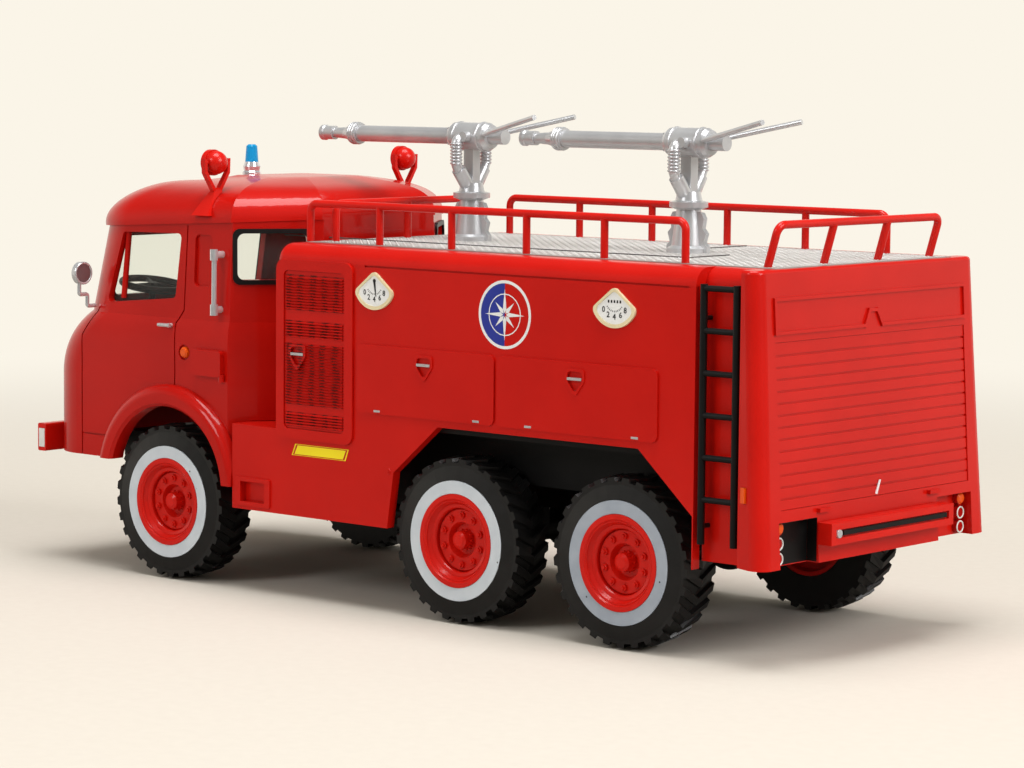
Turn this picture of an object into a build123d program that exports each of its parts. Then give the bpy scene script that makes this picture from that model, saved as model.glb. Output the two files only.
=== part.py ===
from build123d import *
from math import atan2, cos, degrees, pi, radians, sin
import os

# Six-wheeled airport fire truck, built as a small display model. Lengths are in mm.
# Stations run along X from the middle axle, forward positive; Y is to the left; Z is up
# from the ground. Every piece is moved by the same step at the end, so that the origin
# lies on the ground under the middle of the model.

# --- driving dimensions -------------------------------------------------------------
FRONT_AXLE = 64.4
MIDDLE_AXLE = 0.0
REAR_AXLE = -32.1
FRONT_END = 98.8
REAR_END = -62.2

TYRE_R = 13.0
TYRE_WIDTH = 7.2
WHEEL_FACE_Y = 27.3
LUG_HEIGHT = 0.6
LUGS_PER_ROW = 29
LUG_SHARE = 0.56
CHEVRON_TURN = 8.0
SHOULDER_DROP = 0.35
WALL_R = 11.6
RING_OUTER_R = 9.3
RIM_R = 7.3
RING_THICKNESS = 0.45
AXLE_R = 0.8
AXLE_PLAY = 0.06

BODY_HALF_WIDTH = 27.8
BODY_FRONT = 38.6
SIDE_REAR = -46.3
CORNER_FRONT = -54.3
REAR_TOP = -57.2
REAR_BOTTOM = -59.8
REAR_TOP_HALF_WIDTH = 28.2
REAR_BOTTOM_HALF_WIDTH = 29.8
LADDER_RECESS = 2.2
SKIRT_FRONT = 48.4
SKIRT_BOTTOM = 13.6
REAR_SILL = 14.7
STEP_TOP = 27.4
ARCH_FRONT = 14.2
ARCH_REAR = -46.1
ARCH_TOP = 30.3
CEILING = ARCH_TOP + 0.2
GROOVE_Z = 54.2
DECK_TOP = 57.2
DECK_HALF_WIDTH = 22.5
DECK_THICKNESS = 0.9
DECK_INSET = 0.8
SHOULDER_R = 2.8
FRONT_CORNER_R = 1.6
TAIL_CORNER_R = 2.0
TAIL_LIP_R = 0.6
BODY_WALL = 1.6
TAIL_WALL = 4.6

GRILLE = (22.9, 36.3, 27.7, 53.0)
GRILLE_FRAME = 1.7
GRILLE_PROUD = 0.4
LATCH_STATION = 33.2
LOUVRE_PITCH = 0.45
LOUVRE_DEPTH = 0.22
LOCKER_FRONT = 20.3
LOCKER_SPLIT = -8.5
LOCKER_REAR = -39.7
LOCKER_TOP = 42.2
LOCKER_BOTTOM = 31.4
LOCKER_PROUD = 0.3
LATCH_Z = 39.5
GAUGE_FRONT = 16.6
GAUGE_REAR = -31.5
GAUGE_Z = 50.5
GAUGE_THICKNESS = 0.4
GAUGE_HALF_WIDTH = 4.15
GAUGE_HALF_HEIGHT = 2.85

SHUTTER_HALF_WIDTH = 24.2
SHUTTER_TOP = 46.9
SHUTTER_BOTTOM = 23.0
SHUTTER_THICKNESS = 0.7
SLATS = 14
HEADER_TOP = 53.0
HEADER_BOTTOM = 48.2
POCKET_INNER_Y = 15.5
POCKET_OUTER_Y = 24.8
POCKET_TOP = 21.3
POCKET_DEPTH = 2.2
TAIL_LAMP_Y = 23.4
TAIL_LAMP_R = 1.0
TAIL_MARKER_Z = 25.3
STEP_BAR_HALF_LENGTH = 15.8
STEP_BAR = (17.4, 20.6)
LADDER_TOP = 54.9
LADDER_FOOT = 17.4
LADDER_STATIONS = (-47.4, -53.3)
LADDER_RAIL_R = 0.55
LADDER_SET_IN = 0.45
RUNGS = 6
SILENCER = (8.0, 30.0, 17.4, 14.7)
SILENCER_R = 1.1
STEP_POCKET = (40.8, 46.3, 14.9, 18.2)

CAB_FRONT = 96.2
CAB_REAR = 41.8
CAB_BOTTOM = 19.1
CAB_HALF_WIDTH = 26.6
CAB_CHAMFER = (9.0, 12.0)
CAB_WALL = 1.2
NOSE_TOP = 33.0
BELT = 43.6
SEAM = 0.28
SEAL_WIDTH = 0.75
SEAL_PROUD = 0.3
DOOR_REAR = 63.3
DOOR_FRONT = 86.2
BEACON_STATION = 72.2
MARKER_STATION = 61.0
MARKER_Z = 38.1
MIRROR_STATION = 83.9
HANDLE_STATION = 53.0
BUMPER = (18.6, 23.4)
BUMPER_HALF_LENGTH = 25.6
GRILLE_HALF_WIDTH = 12.5
NOSE_GRILLE = (23.6, 31.6)
HEADLAMP_Y = 17.2
HEADLAMP_Z = 28.6
HEADLAMP_R = 2.9
GUTTER = 58.9
GUTTER_TILT = 3.0
ROOF_HALF_WIDTH = 25.7
ROOF_TOP = 66.8
CAB_FLOOR = 33.5
GLASS_THICKNESS = 0.5
GLASS_MARGIN = 0.6
FIT = 0.05

ARCH_CENTRE_Z = 15.6
ARCH_R = 13.4
FENDER_R = 17.0
FENDER_Y = 28.3

RAIL_R = 0.6
RAIL_HEIGHT = 6.2
RAIL_Y = 21.5
RAIL_BEND = 1.4

LAMP_STATION = 57.4
LAMP_Y = 22.8
LAMP_Z = 69.4
LAMP_R = 1.95

MONITOR_STATIONS = (21.4, -23.2)
MONITOR_BARREL_Z = 16.9
HANDLE_REACH = 14.0
BARREL_HEAD_R = 2.27
HOSE_Y = 3.6
BARREL_R = 1.35


# --- helpers ------------------------------------------------------------------------
def block(x, y, z):
    """A box between the limits x, y and z, each a pair."""
    corner = Pos(min(x), min(y), min(z))
    size = [max(pair) - min(pair) for pair in (x, y, z)]
    return corner * Box(*size, align=(Align.MIN, Align.MIN, Align.MIN))


def side_plate(points, y):
    """A plate with the outline (station, height), between the two values of y."""
    outline = Polyline(*[(x, min(y), z) for x, z in points], close=True)
    return extrude(make_face(outline), amount=max(y) - min(y), dir=(0, 1, 0))


def front_plate(points, x):
    """A plate with the outline (y, z), between the two stations x."""
    outline = Polyline(*[(min(x), y, z) for y, z in points], close=True)
    return extrude(make_face(outline), amount=max(x) - min(x), dir=(1, 0, 0))


def turned_y(profile):
    """A solid of revolution about the Y axis from a profile of (y, radius)."""
    outline = Polyline(*[(0, y, r) for y, r in profile], close=True)
    return revolve(make_face(outline), Axis.Y)


def turned_x(profile):
    """A solid of revolution about the X axis from a profile of (x, radius)."""
    outline = Polyline(*[(x, 0, r) for x, r in profile], close=True)
    return revolve(make_face(outline), Axis.X)


def turned_z(profile):
    """A solid of revolution about the Z axis from a profile of (radius, z)."""
    outline = Polyline(*[(r, 0, z) for r, z in profile], close=True)
    return revolve(make_face(outline), Axis.Z)


def rod(start, end, radius):
    """A round rod between two points."""
    path = Line(start, end)
    return sweep(Plane(origin=start, z_dir=path % 0) * Circle(radius), path=path)


def bent_rod(points, radius, bend):
    """A round rod along straight runs joined by arcs of one radius."""
    path = FilletPolyline(*points, radius=bend)
    return sweep(Plane(origin=points[0], z_dir=path % 0) * Circle(radius), path=path)


def both_sides(shape):
    """The shape and its mirror image across the middle of the model."""
    return Compound(children=[*shape.solids(), *mirror(shape, about=Plane.XZ).solids()])


def strip(start, end, width, y):
    """A thin bar between two points (station, height) of a side view, across the values y."""
    run = Vector(end[0] - start[0], 0, end[1] - start[1])
    across = run.cross(Vector(0, 1, 0)).normalized() * width / 2
    corners = [Vector(start[0], 0, start[1]) + across, Vector(end[0], 0, end[1]) + across]
    corners += [Vector(end[0], 0, end[1]) - across, Vector(start[0], 0, start[1]) - across]
    return side_plate([(corner.X, corner.Z) for corner in corners], y)


def rounded_plate(limits, y, radius):
    """A side plate over the limits (rear, front, bottom, top), with round corners."""
    rear, front, bottom, top = limits
    plate = block((rear, front), y, (bottom, top))
    return fillet(plate.edges().filter_by(Axis.Y), radius)


def gather(shapes):
    """Loose solids kept together as one piece."""
    return Compound(children=[solid for shape in shapes for solid in shape.solids()])


def write(name, shape):
    """Moves a piece so that the origin is under the middle, and writes its file."""
    middle = (FRONT_END + REAR_END) / 2
    solids = [Pos(-middle, 0, 0) * solid for solid in shape.solids()]
    export_step(Compound(children=solids), f"parts/{name}.step")


# --- wheels -------------------------------------------------------------------------
def ring_points(y, radii, turn=0.0):
    """Points of a closed outline about the Y axis: each lug repeats the table of shares and radii."""
    pitch = 360 / LUGS_PER_ROW
    points = []
    for index in range(LUGS_PER_ROW):
        for share, radius in radii:
            angle = radians(pitch * (index + share) + turn)
            points.append(Vector(radius * sin(angle), y, radius * cos(angle)))
    return points


def band(first, second):
    """Plane triangles between two outlines with equally many points."""
    faces = []
    count = len(first)
    for index in range(count):
        after = (index + 1) % count
        faces.append(Face(Wire.make_polygon((first[index], first[after], second[after]))))
        faces.append(Face(Wire.make_polygon((first[index], second[after], second[index]))))
    return faces


def annulus(outer, inner):
    """A plane face between two outlines at the same station."""
    return Face(Wire.make_polygon(outer), [Wire.make_polygon(inner)])


def tyre():
    """A plane-faceted tyre about the Y axis with chevron lugs, its outer face towards +Y at y = 0."""
    half = LUG_SHARE / 2
    top = half * 0.8
    root = TYRE_R - LUG_HEIGHT
    shares = ((-half, 0), (-top, LUG_HEIGHT), (top, LUG_HEIGHT), (half, 0))
    lugs = [(share, root + rise) for share, rise in shares]
    ends = [(share, radius - SHOULDER_DROP) for share, radius in lugs]
    flat = 1 / cos(pi / LUGS_PER_ROW)
    wall = [(0, WALL_R)]
    seat = [(0, (RING_OUTER_R + FIT) * flat)]
    bore = [(0, RIM_R * flat)]
    outer_end = ring_points(-SHOULDER_DROP, ends, CHEVRON_TURN)
    middle = ring_points(-TYRE_WIDTH / 2, lugs)
    inner_end = ring_points(-TYRE_WIDTH, ends, CHEVRON_TURN)
    outer_wall = ring_points(-SHOULDER_DROP, wall)
    seat_edge = ring_points(0, seat)
    seat_floor = ring_points(-RING_THICKNESS - FIT, seat)
    bore_outer = ring_points(-RING_THICKNESS - FIT, bore)
    bore_inner = ring_points(-TYRE_WIDTH, bore)
    faces = band(outer_end, middle) + band(middle, inner_end)
    faces += band(outer_wall, seat_edge) + band(seat_edge, seat_floor) + band(bore_outer, bore_inner)
    faces += [annulus(outer_end, outer_wall), annulus(seat_floor, bore_outer), annulus(inner_end, bore_inner)]
    return Solid(Shell(faces))


def rim():
    """The wheel disc about the Y axis, with the tyre's outer face at y = 0."""
    profile = [
        (-TYRE_WIDTH, 0),
        (-TYRE_WIDTH, 3.2),
        (-TYRE_WIDTH + 1.6, 3.2),
        (-TYRE_WIDTH + 1.6, 6.4),
        (-TYRE_WIDTH, 6.6),
        (-TYRE_WIDTH, RIM_R - FIT),
        (0.15, RIM_R - FIT),
        (0.15, 6.5),
        (-0.9, 5.6),
        (-2.3, 5.3),
        (-1.6, 4.7),
        (-1.6, 2.8),
        (-2.6, 2.3),
        (-2.6, 1.6),
        (-0.9, 1.35),
        (-0.6, 0.9),
        (-0.6, 0),
    ]
    disc = turned_y(profile)
    return disc - Pos(0, -TYRE_WIDTH, 0) * Rot(90, 0, 0) * Cylinder(AXLE_R, 2 * (TYRE_WIDTH - 3.6))


def side_ring():
    """The white ring let into the tyre's outer face."""
    back, face = -RING_THICKNESS, 0.05
    return turned_y([(back, RIM_R), (back, RING_OUTER_R), (face, RING_OUTER_R), (face, RIM_R)])


def at_wheels(piece, station):
    """The piece on both ends of the axle at the station."""
    return both_sides(Pos(station, WHEEL_FACE_Y, TYRE_R) * piece)


def axle(station):
    """The steel rod between the two wheels of an axle."""
    half = WHEEL_FACE_Y - 3.6
    return Pos(station, 0, TYRE_R) * Rot(90, 0, 0) * Cylinder(AXLE_R, 2 * half)


# --- chassis ------------------------------------------------------------------------
RAIL_TOP = 21.5
RAIL_BOTTOM = 17.0
RAIL_OUTER_Y = 10.5
RAIL_INNER_Y = 8.5
TUNNEL_Y = 18.6
BEAM_END_Y = WHEEL_FACE_Y - TYRE_WIDTH - 0.6
HUB_R = 4.0
PINION_END = 5.7
GEARBOX = (29.0, 41.0)


def chassis():
    """The moulded underbody: a tunnel between the wheels, its ceiling over them and the rails."""
    back = REAR_BOTTOM + TAIL_WALL + 0.1
    front = CAB_FRONT - 3.0
    step_front = SKIRT_FRONT - BODY_WALL - 0.1
    base = block((back, BODY_FRONT), (-TUNNEL_Y, TUNNEL_Y), (RAIL_TOP, CEILING))
    liner_y = BODY_HALF_WIDTH - BODY_WALL - 0.1
    base += block((ARCH_REAR + 0.1, ARCH_FRONT - 1.8), (-liner_y, liner_y), (CEILING - 1.2, CEILING))
    base += block((BODY_FRONT, step_front), (-TUNNEL_Y, TUNNEL_Y), (RAIL_TOP, STEP_TOP - BODY_WALL - 0.1))
    base += block((BODY_FRONT, front), (-RAIL_OUTER_Y, RAIL_OUTER_Y), (RAIL_TOP - 1.0, RAIL_TOP))
    base += both_sides(block((back, front), (RAIL_INNER_Y, RAIL_OUTER_Y), (RAIL_BOTTOM, RAIL_TOP)))
    return base


def axle_beam(station):
    """A moulded axle housing with its differential and the saddles under the frame."""
    beam = Rot(90, 0, 0) * Cylinder(2.0, 2 * BEAM_END_Y)
    beam += Sphere(HUB_R)
    beam += rod((0, 0, 0), (PINION_END, 0, 0), 1.7)
    beam += both_sides(block((-3.0, 3.0), (RAIL_INNER_Y, RAIL_OUTER_Y), (0, RAIL_BOTTOM - TYRE_R)))
    beam -= Rot(90, 0, 0) * Cylinder(AXLE_R + AXLE_PLAY, 2 * BEAM_END_Y + 2)
    return Pos(station, 0, TYRE_R) * beam


def drive_shafts():
    """The transfer gearbox and the shafts that run from it to the three axles."""
    shafts = block((GEARBOX[0], GEARBOX[1]), (-5.0, 5.0), (TYRE_R - 3.0, RAIL_BOTTOM + 0.8))
    reach = PINION_END + FIT
    spans = (
        # start, end
        (GEARBOX[1], FRONT_AXLE - HUB_R - FIT),
        (MIDDLE_AXLE + reach, GEARBOX[0]),
        (REAR_AXLE + reach, MIDDLE_AXLE - HUB_R - FIT),
    )
    for start, end in spans:
        shafts += rod((start, 0, TYRE_R), (end, 0, TYRE_R), 0.9)
    return shafts


# --- body ---------------------------------------------------------------------------
def tail_x(height):
    """The station of the sloping rear face at a height."""
    return REAR_BOTTOM + (REAR_TOP - REAR_BOTTOM) * (height - REAR_SILL) / (DECK_TOP - REAR_SILL)


def flank_y(height):
    """Half the width of the flared tail at a height."""
    share = (height - REAR_SILL) / (DECK_TOP - REAR_SILL)
    return REAR_BOTTOM_HALF_WIDTH + (REAR_TOP_HALF_WIDTH - REAR_BOTTOM_HALF_WIDTH) * share


def tail_outline(height):
    """The plan outline of the tail's corner piece at a height: its flanks flare towards the rear."""
    rear = tail_x(height)
    half = flank_y(height)
    corners = [(CORNER_FRONT, BODY_HALF_WIDTH), (rear, half), (rear, -half), (CORNER_FRONT, -BODY_HALF_WIDTH)]
    return make_face(Polyline(*[(x, y, height) for x, y in corners], close=True))


def body_outer():
    """The tank body's outer form: the sides, the ladder recess and the flared tail."""
    half = BODY_HALF_WIDTH
    box = block((SIDE_REAR, BODY_FRONT), (-half, half), (SKIRT_BOTTOM, DECK_TOP))
    box = fillet(box.edges().filter_by(Axis.X).group_by(Axis.Z)[-1], SHOULDER_R)
    front = box.edges().filter_by(Axis.Z).group_by(Axis.X)[-1]
    box = fillet(front, FRONT_CORNER_R)
    tail = block((CORNER_FRONT, SIDE_REAR), (-half, half - LADDER_RECESS), (REAR_SILL, DECK_TOP))
    tail = fillet(tail.edges().filter_by(Axis.X).group_by(Axis.Z)[-1], SHOULDER_R)
    corner = loft([tail_outline(REAR_SILL), tail_outline(DECK_TOP)], ruled=True)
    upright = [e for e in corner.edges() if abs((e % 0.5).Z) > 0.9 and (e @ 0.5).X < REAR_TOP]
    corner = fillet(upright, TAIL_CORNER_R)
    lip = [e for e in corner.edges() if (e @ 0.5).Z > DECK_TOP - 0.01 and (e @ 0.5).X < CORNER_FRONT - 0.2]
    corner = fillet(lip, TAIL_LIP_R)
    return box + tail + corner


def arch_outline():
    """The outline of the opening over the two rear axles."""
    foot = SKIRT_BOTTOM - 2
    return [
        (ARCH_FRONT, foot),
        (ARCH_FRONT - 1.6, 22.5),
        (ARCH_FRONT - 10.8, ARCH_TOP),
        (ARCH_REAR + 10.1, ARCH_TOP),
        (ARCH_REAR, 21.3),
        (ARCH_REAR, foot),
    ]


def lockers():
    """The limits of the two locker doors on each side: rear, front, bottom, top."""
    gap = SEAM
    return [
        (LOCKER_SPLIT + gap, LOCKER_FRONT, LOCKER_BOTTOM, LOCKER_TOP),
        (LOCKER_REAR, LOCKER_SPLIT - gap, LOCKER_BOTTOM, LOCKER_TOP),
    ]


def finger_cup(station, y, margin=0.0):
    """The shield-shaped hollow behind a door's latch, across the values y, or its rim with a margin."""
    outline = [(-1.4, 1.3), (1.4, 1.3), (1.4, -0.1), (0.0, -2.0), (-1.4, -0.1)]
    grown = 1 + margin / 1.4
    cup = side_plate([(station + x * grown, LATCH_Z + z * grown) for x, z in outline], y)
    return fillet(cup.edges().filter_by(Axis.Y), 0.55)


def with_cup(door, station, face):
    """The door with a rimmed finger cup at a station; face is the door's outer plane."""
    door += finger_cup(station, (BODY_HALF_WIDTH, face + 0.2), 0.45)
    return door - finger_cup(station, (BODY_HALF_WIDTH + 0.05, face + 1))


def body_shell():
    """The tank body: a closed upper part with skirts, step and tail walls below it."""
    half = BODY_HALF_WIDTH
    shell = body_outer()
    shell += block((BODY_FRONT - 2, SKIRT_FRONT), (-half, half), (SKIRT_BOTTOM, STEP_TOP))
    inner = half - BODY_WALL
    shell -= block((SIDE_REAR, BODY_FRONT), (-inner, inner), (0, CEILING))
    shell -= block((REAR_BOTTOM + TAIL_WALL, SIDE_REAR), (-inner, inner - LADDER_RECESS), (0, CEILING))
    shell -= block((BODY_FRONT - 1, SKIRT_FRONT - BODY_WALL), (-inner, inner), (0, STEP_TOP - BODY_WALL))
    notch = RAIL_OUTER_Y + 0.5
    shell -= block((SKIRT_FRONT - 3, SKIRT_FRONT + 1), (-notch, notch), (0, RAIL_TOP + 0.5))
    shell -= side_plate(arch_outline(), (-half - 3, half + 3))
    shell += both_sides(grille_frame())
    for side in (-1, 1):
        outer = side * (half + 1)
        groove = (side * (half - SEAM), outer)
        rear, front, low, high = STEP_POCKET
        frame = (rear - 1.2, front + 1.2, low - 0.7, high + 0.7)
        shell += rounded_plate(frame, sorted((side * (half - 0.1), side * (half + 0.3))), 0.5)
        shell -= block((rear, front), (side * (half - 0.9), outer), (low, high))
        shell -= block((SIDE_REAR + 1.2, GRILLE[0] - 4.0), groove, (GROOVE_Z, GROOVE_Z + SEAM))
        pocket = (side * POCKET_INNER_Y, side * POCKET_OUTER_Y)
        shell -= block((REAR_BOTTOM - 1, REAR_BOTTOM + POCKET_DEPTH), pocket, (REAR_SILL - 1, POCKET_TOP))
    shell -= both_sides(tail_marker(FIT))
    shell -= shutter_recess()
    shell += header_lines()
    return shell - deck_space()


def grille_frame():
    """The raised round-cornered frame of the louvred door on the left side."""
    rear, front, bottom, top = GRILLE
    reach = (rear - GRILLE_FRAME, front + GRILLE_FRAME, bottom - GRILLE_FRAME, top + GRILLE_FRAME)
    outer = rounded_plate(reach, (BODY_HALF_WIDTH - 0.1, BODY_HALF_WIDTH + GRILLE_PROUD), 1.6)
    return outer - rounded_plate(GRILLE, (BODY_HALF_WIDTH - 1, BODY_HALF_WIDTH + 1), 0.9)


def louvre_bands():
    """The heights of the four louvred bands, each (bottom, top)."""
    bottom, top = GRILLE[2], GRILLE[3]
    upper = [(top - 6.3, top - 0.5), (top - 10.7, top - 7.9)]
    return upper + [(bottom + 3.9, top - 11.5), (bottom + 0.4, bottom + 2.7)]


def grille_doors():
    """The louvred doors that fill the frames on both sides."""
    rear, front, bottom, top = GRILLE
    base = BODY_HALF_WIDTH
    door = rounded_plate((rear + FIT, front - FIT, bottom + FIT, top - FIT), (base, base + 0.15), 0.9 - FIT)
    for low, high in louvre_bands():
        profile = [(base, low)]
        for index in range(int((high - low) / LOUVRE_PITCH)):
            z = low + index * LOUVRE_PITCH
            profile += [(base + 0.15 + LOUVRE_DEPTH, z + 0.1), (base + 0.15, z + LOUVRE_PITCH)]
        profile += [(base, profile[-1][1])]
        door += front_plate(profile, (rear + 0.5, front - 0.5))
    return both_sides(with_cup(door, LATCH_STATION, base + 0.15 + LOUVRE_DEPTH))


def side_lockers():
    """The raised locker doors between the shoulder and the wheel arch, with their finger cups."""
    base = BODY_HALF_WIDTH
    doors = []
    for limits in lockers():
        door = rounded_plate(limits, (base, base + LOCKER_PROUD), 1.1)
        doors.append(with_cup(door, (limits[0] + limits[1]) / 2, base + LOCKER_PROUD))
    return both_sides(gather(doors))


def latch_bars():
    """The bright latch bars across the finger cups of all side doors."""
    stations = [(limits[0] + limits[1]) / 2 for limits in lockers()]
    bars = []
    for station in [LATCH_STATION, *stations]:
        y = (BODY_HALF_WIDTH + 0.05, BODY_HALF_WIDTH + 0.6)
        bars.append(block((station - 1.35, station + 1.35), y, (LATCH_Z, LATCH_Z + 0.4)))
    return both_sides(gather(bars))


def gauge_outline(station, shrink):
    """The rounded shield of a level gauge around a station, drawn in by shrink."""
    half, high = GAUGE_HALF_WIDTH - shrink, GAUGE_HALF_HEIGHT - shrink
    bowl = ThreePointArc((-half, 0, 0), (0, 0, -high), (half, 0, 0))
    roof = Polyline(bowl @ 1, (0, 0, high + 0.4), (-half, 0, 0))
    plate = Pos(station, 1, GAUGE_Z) * extrude(make_face(bowl + roof), amount=1)
    return fillet(plate.edges().filter_by(Axis.Y), 0.9)


def gauge_bezels():
    """The cream rims of the gauges."""
    rims = []
    for station in (GAUGE_FRONT, GAUGE_REAR):
        ring = gauge_outline(station, 0.0) - gauge_outline(station, 0.55)
        rims.append(Pos(0, BODY_HALF_WIDTH, 0) * (ring & block((-99, 99), (0, GAUGE_THICKNESS), (0, 99))))
    return both_sides(gather(rims))


def gauge_dials():
    """The white dials inside the gauges' rims."""
    dials = []
    for station in (GAUGE_FRONT, GAUGE_REAR):
        dial = gauge_outline(station, 0.55) & block((-99, 99), (0, GAUGE_THICKNESS * 0.6), (0, 99))
        dials.append(Pos(0, BODY_HALF_WIDTH, 0) * dial)
    return both_sides(gather(dials))


def shutter_recess():
    """The space of the roller shutter in the sloping rear face."""
    low, high = SHUTTER_BOTTOM, SHUTTER_TOP
    outline = [(tail_x(low) - 1, low), (tail_x(high) - 1, high)]
    outline += [(tail_x(high) + SHUTTER_THICKNESS, high), (tail_x(low) + SHUTTER_THICKNESS, low)]
    return side_plate(outline, (-SHUTTER_HALF_WIDTH, SHUTTER_HALF_WIDTH))


def rear_shutter():
    """The roller shutter: a curtain of flat slats with a groove between each two."""
    low, high = SHUTTER_BOTTOM + FIT, SHUTTER_TOP - FIT
    pitch = (high - low) / SLATS
    face, floor = 0.15, 0.35
    outline = [(tail_x(high) + SHUTTER_THICKNESS, high), (tail_x(low) + SHUTTER_THICKNESS, low)]
    for index in range(SLATS):
        z = low + pitch * index
        edge = z + pitch - 0.3
        outline += [(tail_x(z) + face, z), (tail_x(edge) + face, edge)]
        if index < SLATS - 1:
            outline += [(tail_x(edge) + floor, edge), (tail_x(z + pitch) + floor, z + pitch)]
        else:
            outline += [(tail_x(high) + face, high)]
    return side_plate(outline, (FIT - SHUTTER_HALF_WIDTH, SHUTTER_HALF_WIDTH - FIT))


def header_lines():
    """The raised line round the header above the shutter, with its hump over the lock, and the two stops."""
    half, low, high = SHUTTER_HALF_WIDTH, HEADER_BOTTOM, HEADER_TOP
    proud, width = 0.35, 0.5
    runs = [((-half, low), (-half, high)), ((-half, high), (half, high)), ((half, high), (half, low))]
    runs += [((half, low), (2.2, low)), ((2.2, low), (1.0, low + 2.2)), ((1.0, low + 2.2), (-1.0, low + 2.2))]
    runs += [((-1.0, low + 2.2), (-2.2, low)), ((-2.2, low), (-half, low))]
    lines = Part()
    for (y0, z0), (y1, z1) in runs:
        run = Vector(0, y1 - y0, z1 - z0)
        start = Vector(0, y0, z0) - run.normalized() * width / 2
        end = Vector(0, y1, z1) + run.normalized() * width / 2
        across = run.cross(Vector(1, 0, 0)).normalized() * width / 2
        corners = [start + across, end + across, end - across, start - across]
        lines += front_plate([(c.Y, c.Z) for c in corners], (REAR_BOTTOM - 2, REAR_TOP))
    low, high = HEADER_BOTTOM - 2, HEADER_TOP + 2
    face = [(tail_x(low) - proud, low), (tail_x(high) - proud, high)]
    face += [(tail_x(high) + 0.3, high), (tail_x(low) + 0.3, low)]
    lines &= side_plate(face, (-half - 1, half + 1))
    x = tail_x(SHUTTER_BOTTOM)
    stop = block((x - 0.7, x + 0.4), (12.8, 15.6), (SHUTTER_BOTTOM - 1.0, SHUTTER_BOTTOM - 0.4))
    return lines + both_sides(stop)


def deck_space():
    """The shallow recess that holds the tread plate."""
    length = (REAR_TOP + DECK_INSET, BODY_FRONT - 2.2)
    return block(length, (-DECK_HALF_WIDTH, DECK_HALF_WIDTH), (DECK_TOP - DECK_THICKNESS, DECK_TOP + 0.1))


def deck():
    """The silver tread plate let into the top of the body."""
    return deck_space()


# --- cab ----------------------------------------------------------------------------
CAB_SECTIONS = (
    # height, front station, half width, front corner radius
    (CAB_BOTTOM, CAB_FRONT, CAB_HALF_WIDTH, 8.5),
    (NOSE_TOP, CAB_FRONT, CAB_HALF_WIDTH, 8.5),
    (37.5, CAB_FRONT - 1.2, CAB_HALF_WIDTH, 8.5),
    (41.0, CAB_FRONT - 3.6, CAB_HALF_WIDTH - 0.05, 9.0),
    (BELT, CAB_FRONT - 6.6, CAB_HALF_WIDTH - 0.5, 9.5),
    (GUTTER, CAB_FRONT - 9.2, CAB_HALF_WIDTH - 1.3, 10.5),
)
ROOF_SECTIONS = (
    # height, front station, inset from the gutter, front corner radius, tilt towards the front
    (GUTTER, CAB_FRONT - 7.8, 0.0, 12.0, GUTTER_TILT),
    (GUTTER + 2.2, CAB_FRONT - 8.0, 0.5, 12.0, GUTTER_TILT),
    (GUTTER + 4.9, CAB_FRONT - 11.0, 3.2, 12.0, 2.0),
    (GUTTER + 6.9, CAB_FRONT - 18.0, 9.5, 10.0, 1.0),
    (ROOF_TOP, CAB_FRONT - 28.0, 17.0, 6.0, 0.0),
)


def cab_outline(height, front, half, corner, rear, cut, tilt=0.0):
    """A plan outline of the cab: round front corners and slanting rear corners, tipped forward by tilt."""
    cut_x, cut_y = cut
    left = Line((rear + cut_x, half, 0), (front - corner, half, 0))
    front_left = RadiusArc((front - corner, half, 0), (front, half - corner, 0), corner)
    across = Line((front, half - corner, 0), (front, corner - half, 0))
    front_right = RadiusArc((front, corner - half, 0), (front - corner, -half, 0), corner)
    right = Line((front - corner, -half, 0), (rear + cut_x, -half, 0))
    back_right = Line((rear + cut_x, -half, 0), (rear, cut_y - half, 0))
    back = Line((rear, cut_y - half, 0), (rear, half - cut_y, 0))
    back_left = Line((rear, half - cut_y, 0), (rear + cut_x, half, 0))
    face = make_face([left, front_left, across, front_right, right, back_right, back, back_left])
    middle = (CAB_REAR + CAB_FRONT) / 2
    return Pos(middle, 0, height) * Rot(0, tilt, 0) * Pos(-middle, 0, 0) * face


def cab_form(inset=0.0):
    """The cab below the gutter, or the same form drawn in by a wall."""
    faces = []
    for height, front, half, corner in CAB_SECTIONS:
        tilt = GUTTER_TILT if height == GUTTER else 0.0
        size = (height, front - inset, half - inset, corner - inset, CAB_REAR + inset)
        faces.append(cab_outline(*size, CAB_CHAMFER, tilt))
    lower = loft([faces[0], faces[1]], ruled=True)
    nose = loft(faces[1:5], ruled=inset > 0)
    upper = loft([faces[4], faces[5]], ruled=True)
    return lower + nose + upper


def roof_form(inset=0.0):
    """The domed roof above the gutter, or the same form drawn in by a wall."""
    faces = []
    for height, front, draw, corner, tilt in ROOF_SECTIONS:
        half = ROOF_HALF_WIDTH - draw - inset
        rear = CAB_REAR + inset + draw * 0.8
        share = half / ROOF_HALF_WIDTH
        z = height if height == GUTTER else height - inset
        cut = (CAB_CHAMFER[0] * share, CAB_CHAMFER[1] * share)
        faces.append(cab_outline(z, front - inset, half, corner * share, rear, cut, tilt))
    return loft(faces, ruled=inset > 0)


def slanted(box):
    """Turns a box about the middle of the left slanting rear corner, its width along the slant."""
    cut_x, cut_y = CAB_CHAMFER
    angle = degrees(atan2(cut_y, cut_x))
    return Pos(CAB_REAR + cut_x / 2, CAB_HALF_WIDTH - cut_y / 2, 0) * Rot(0, 0, angle) * box


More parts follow.
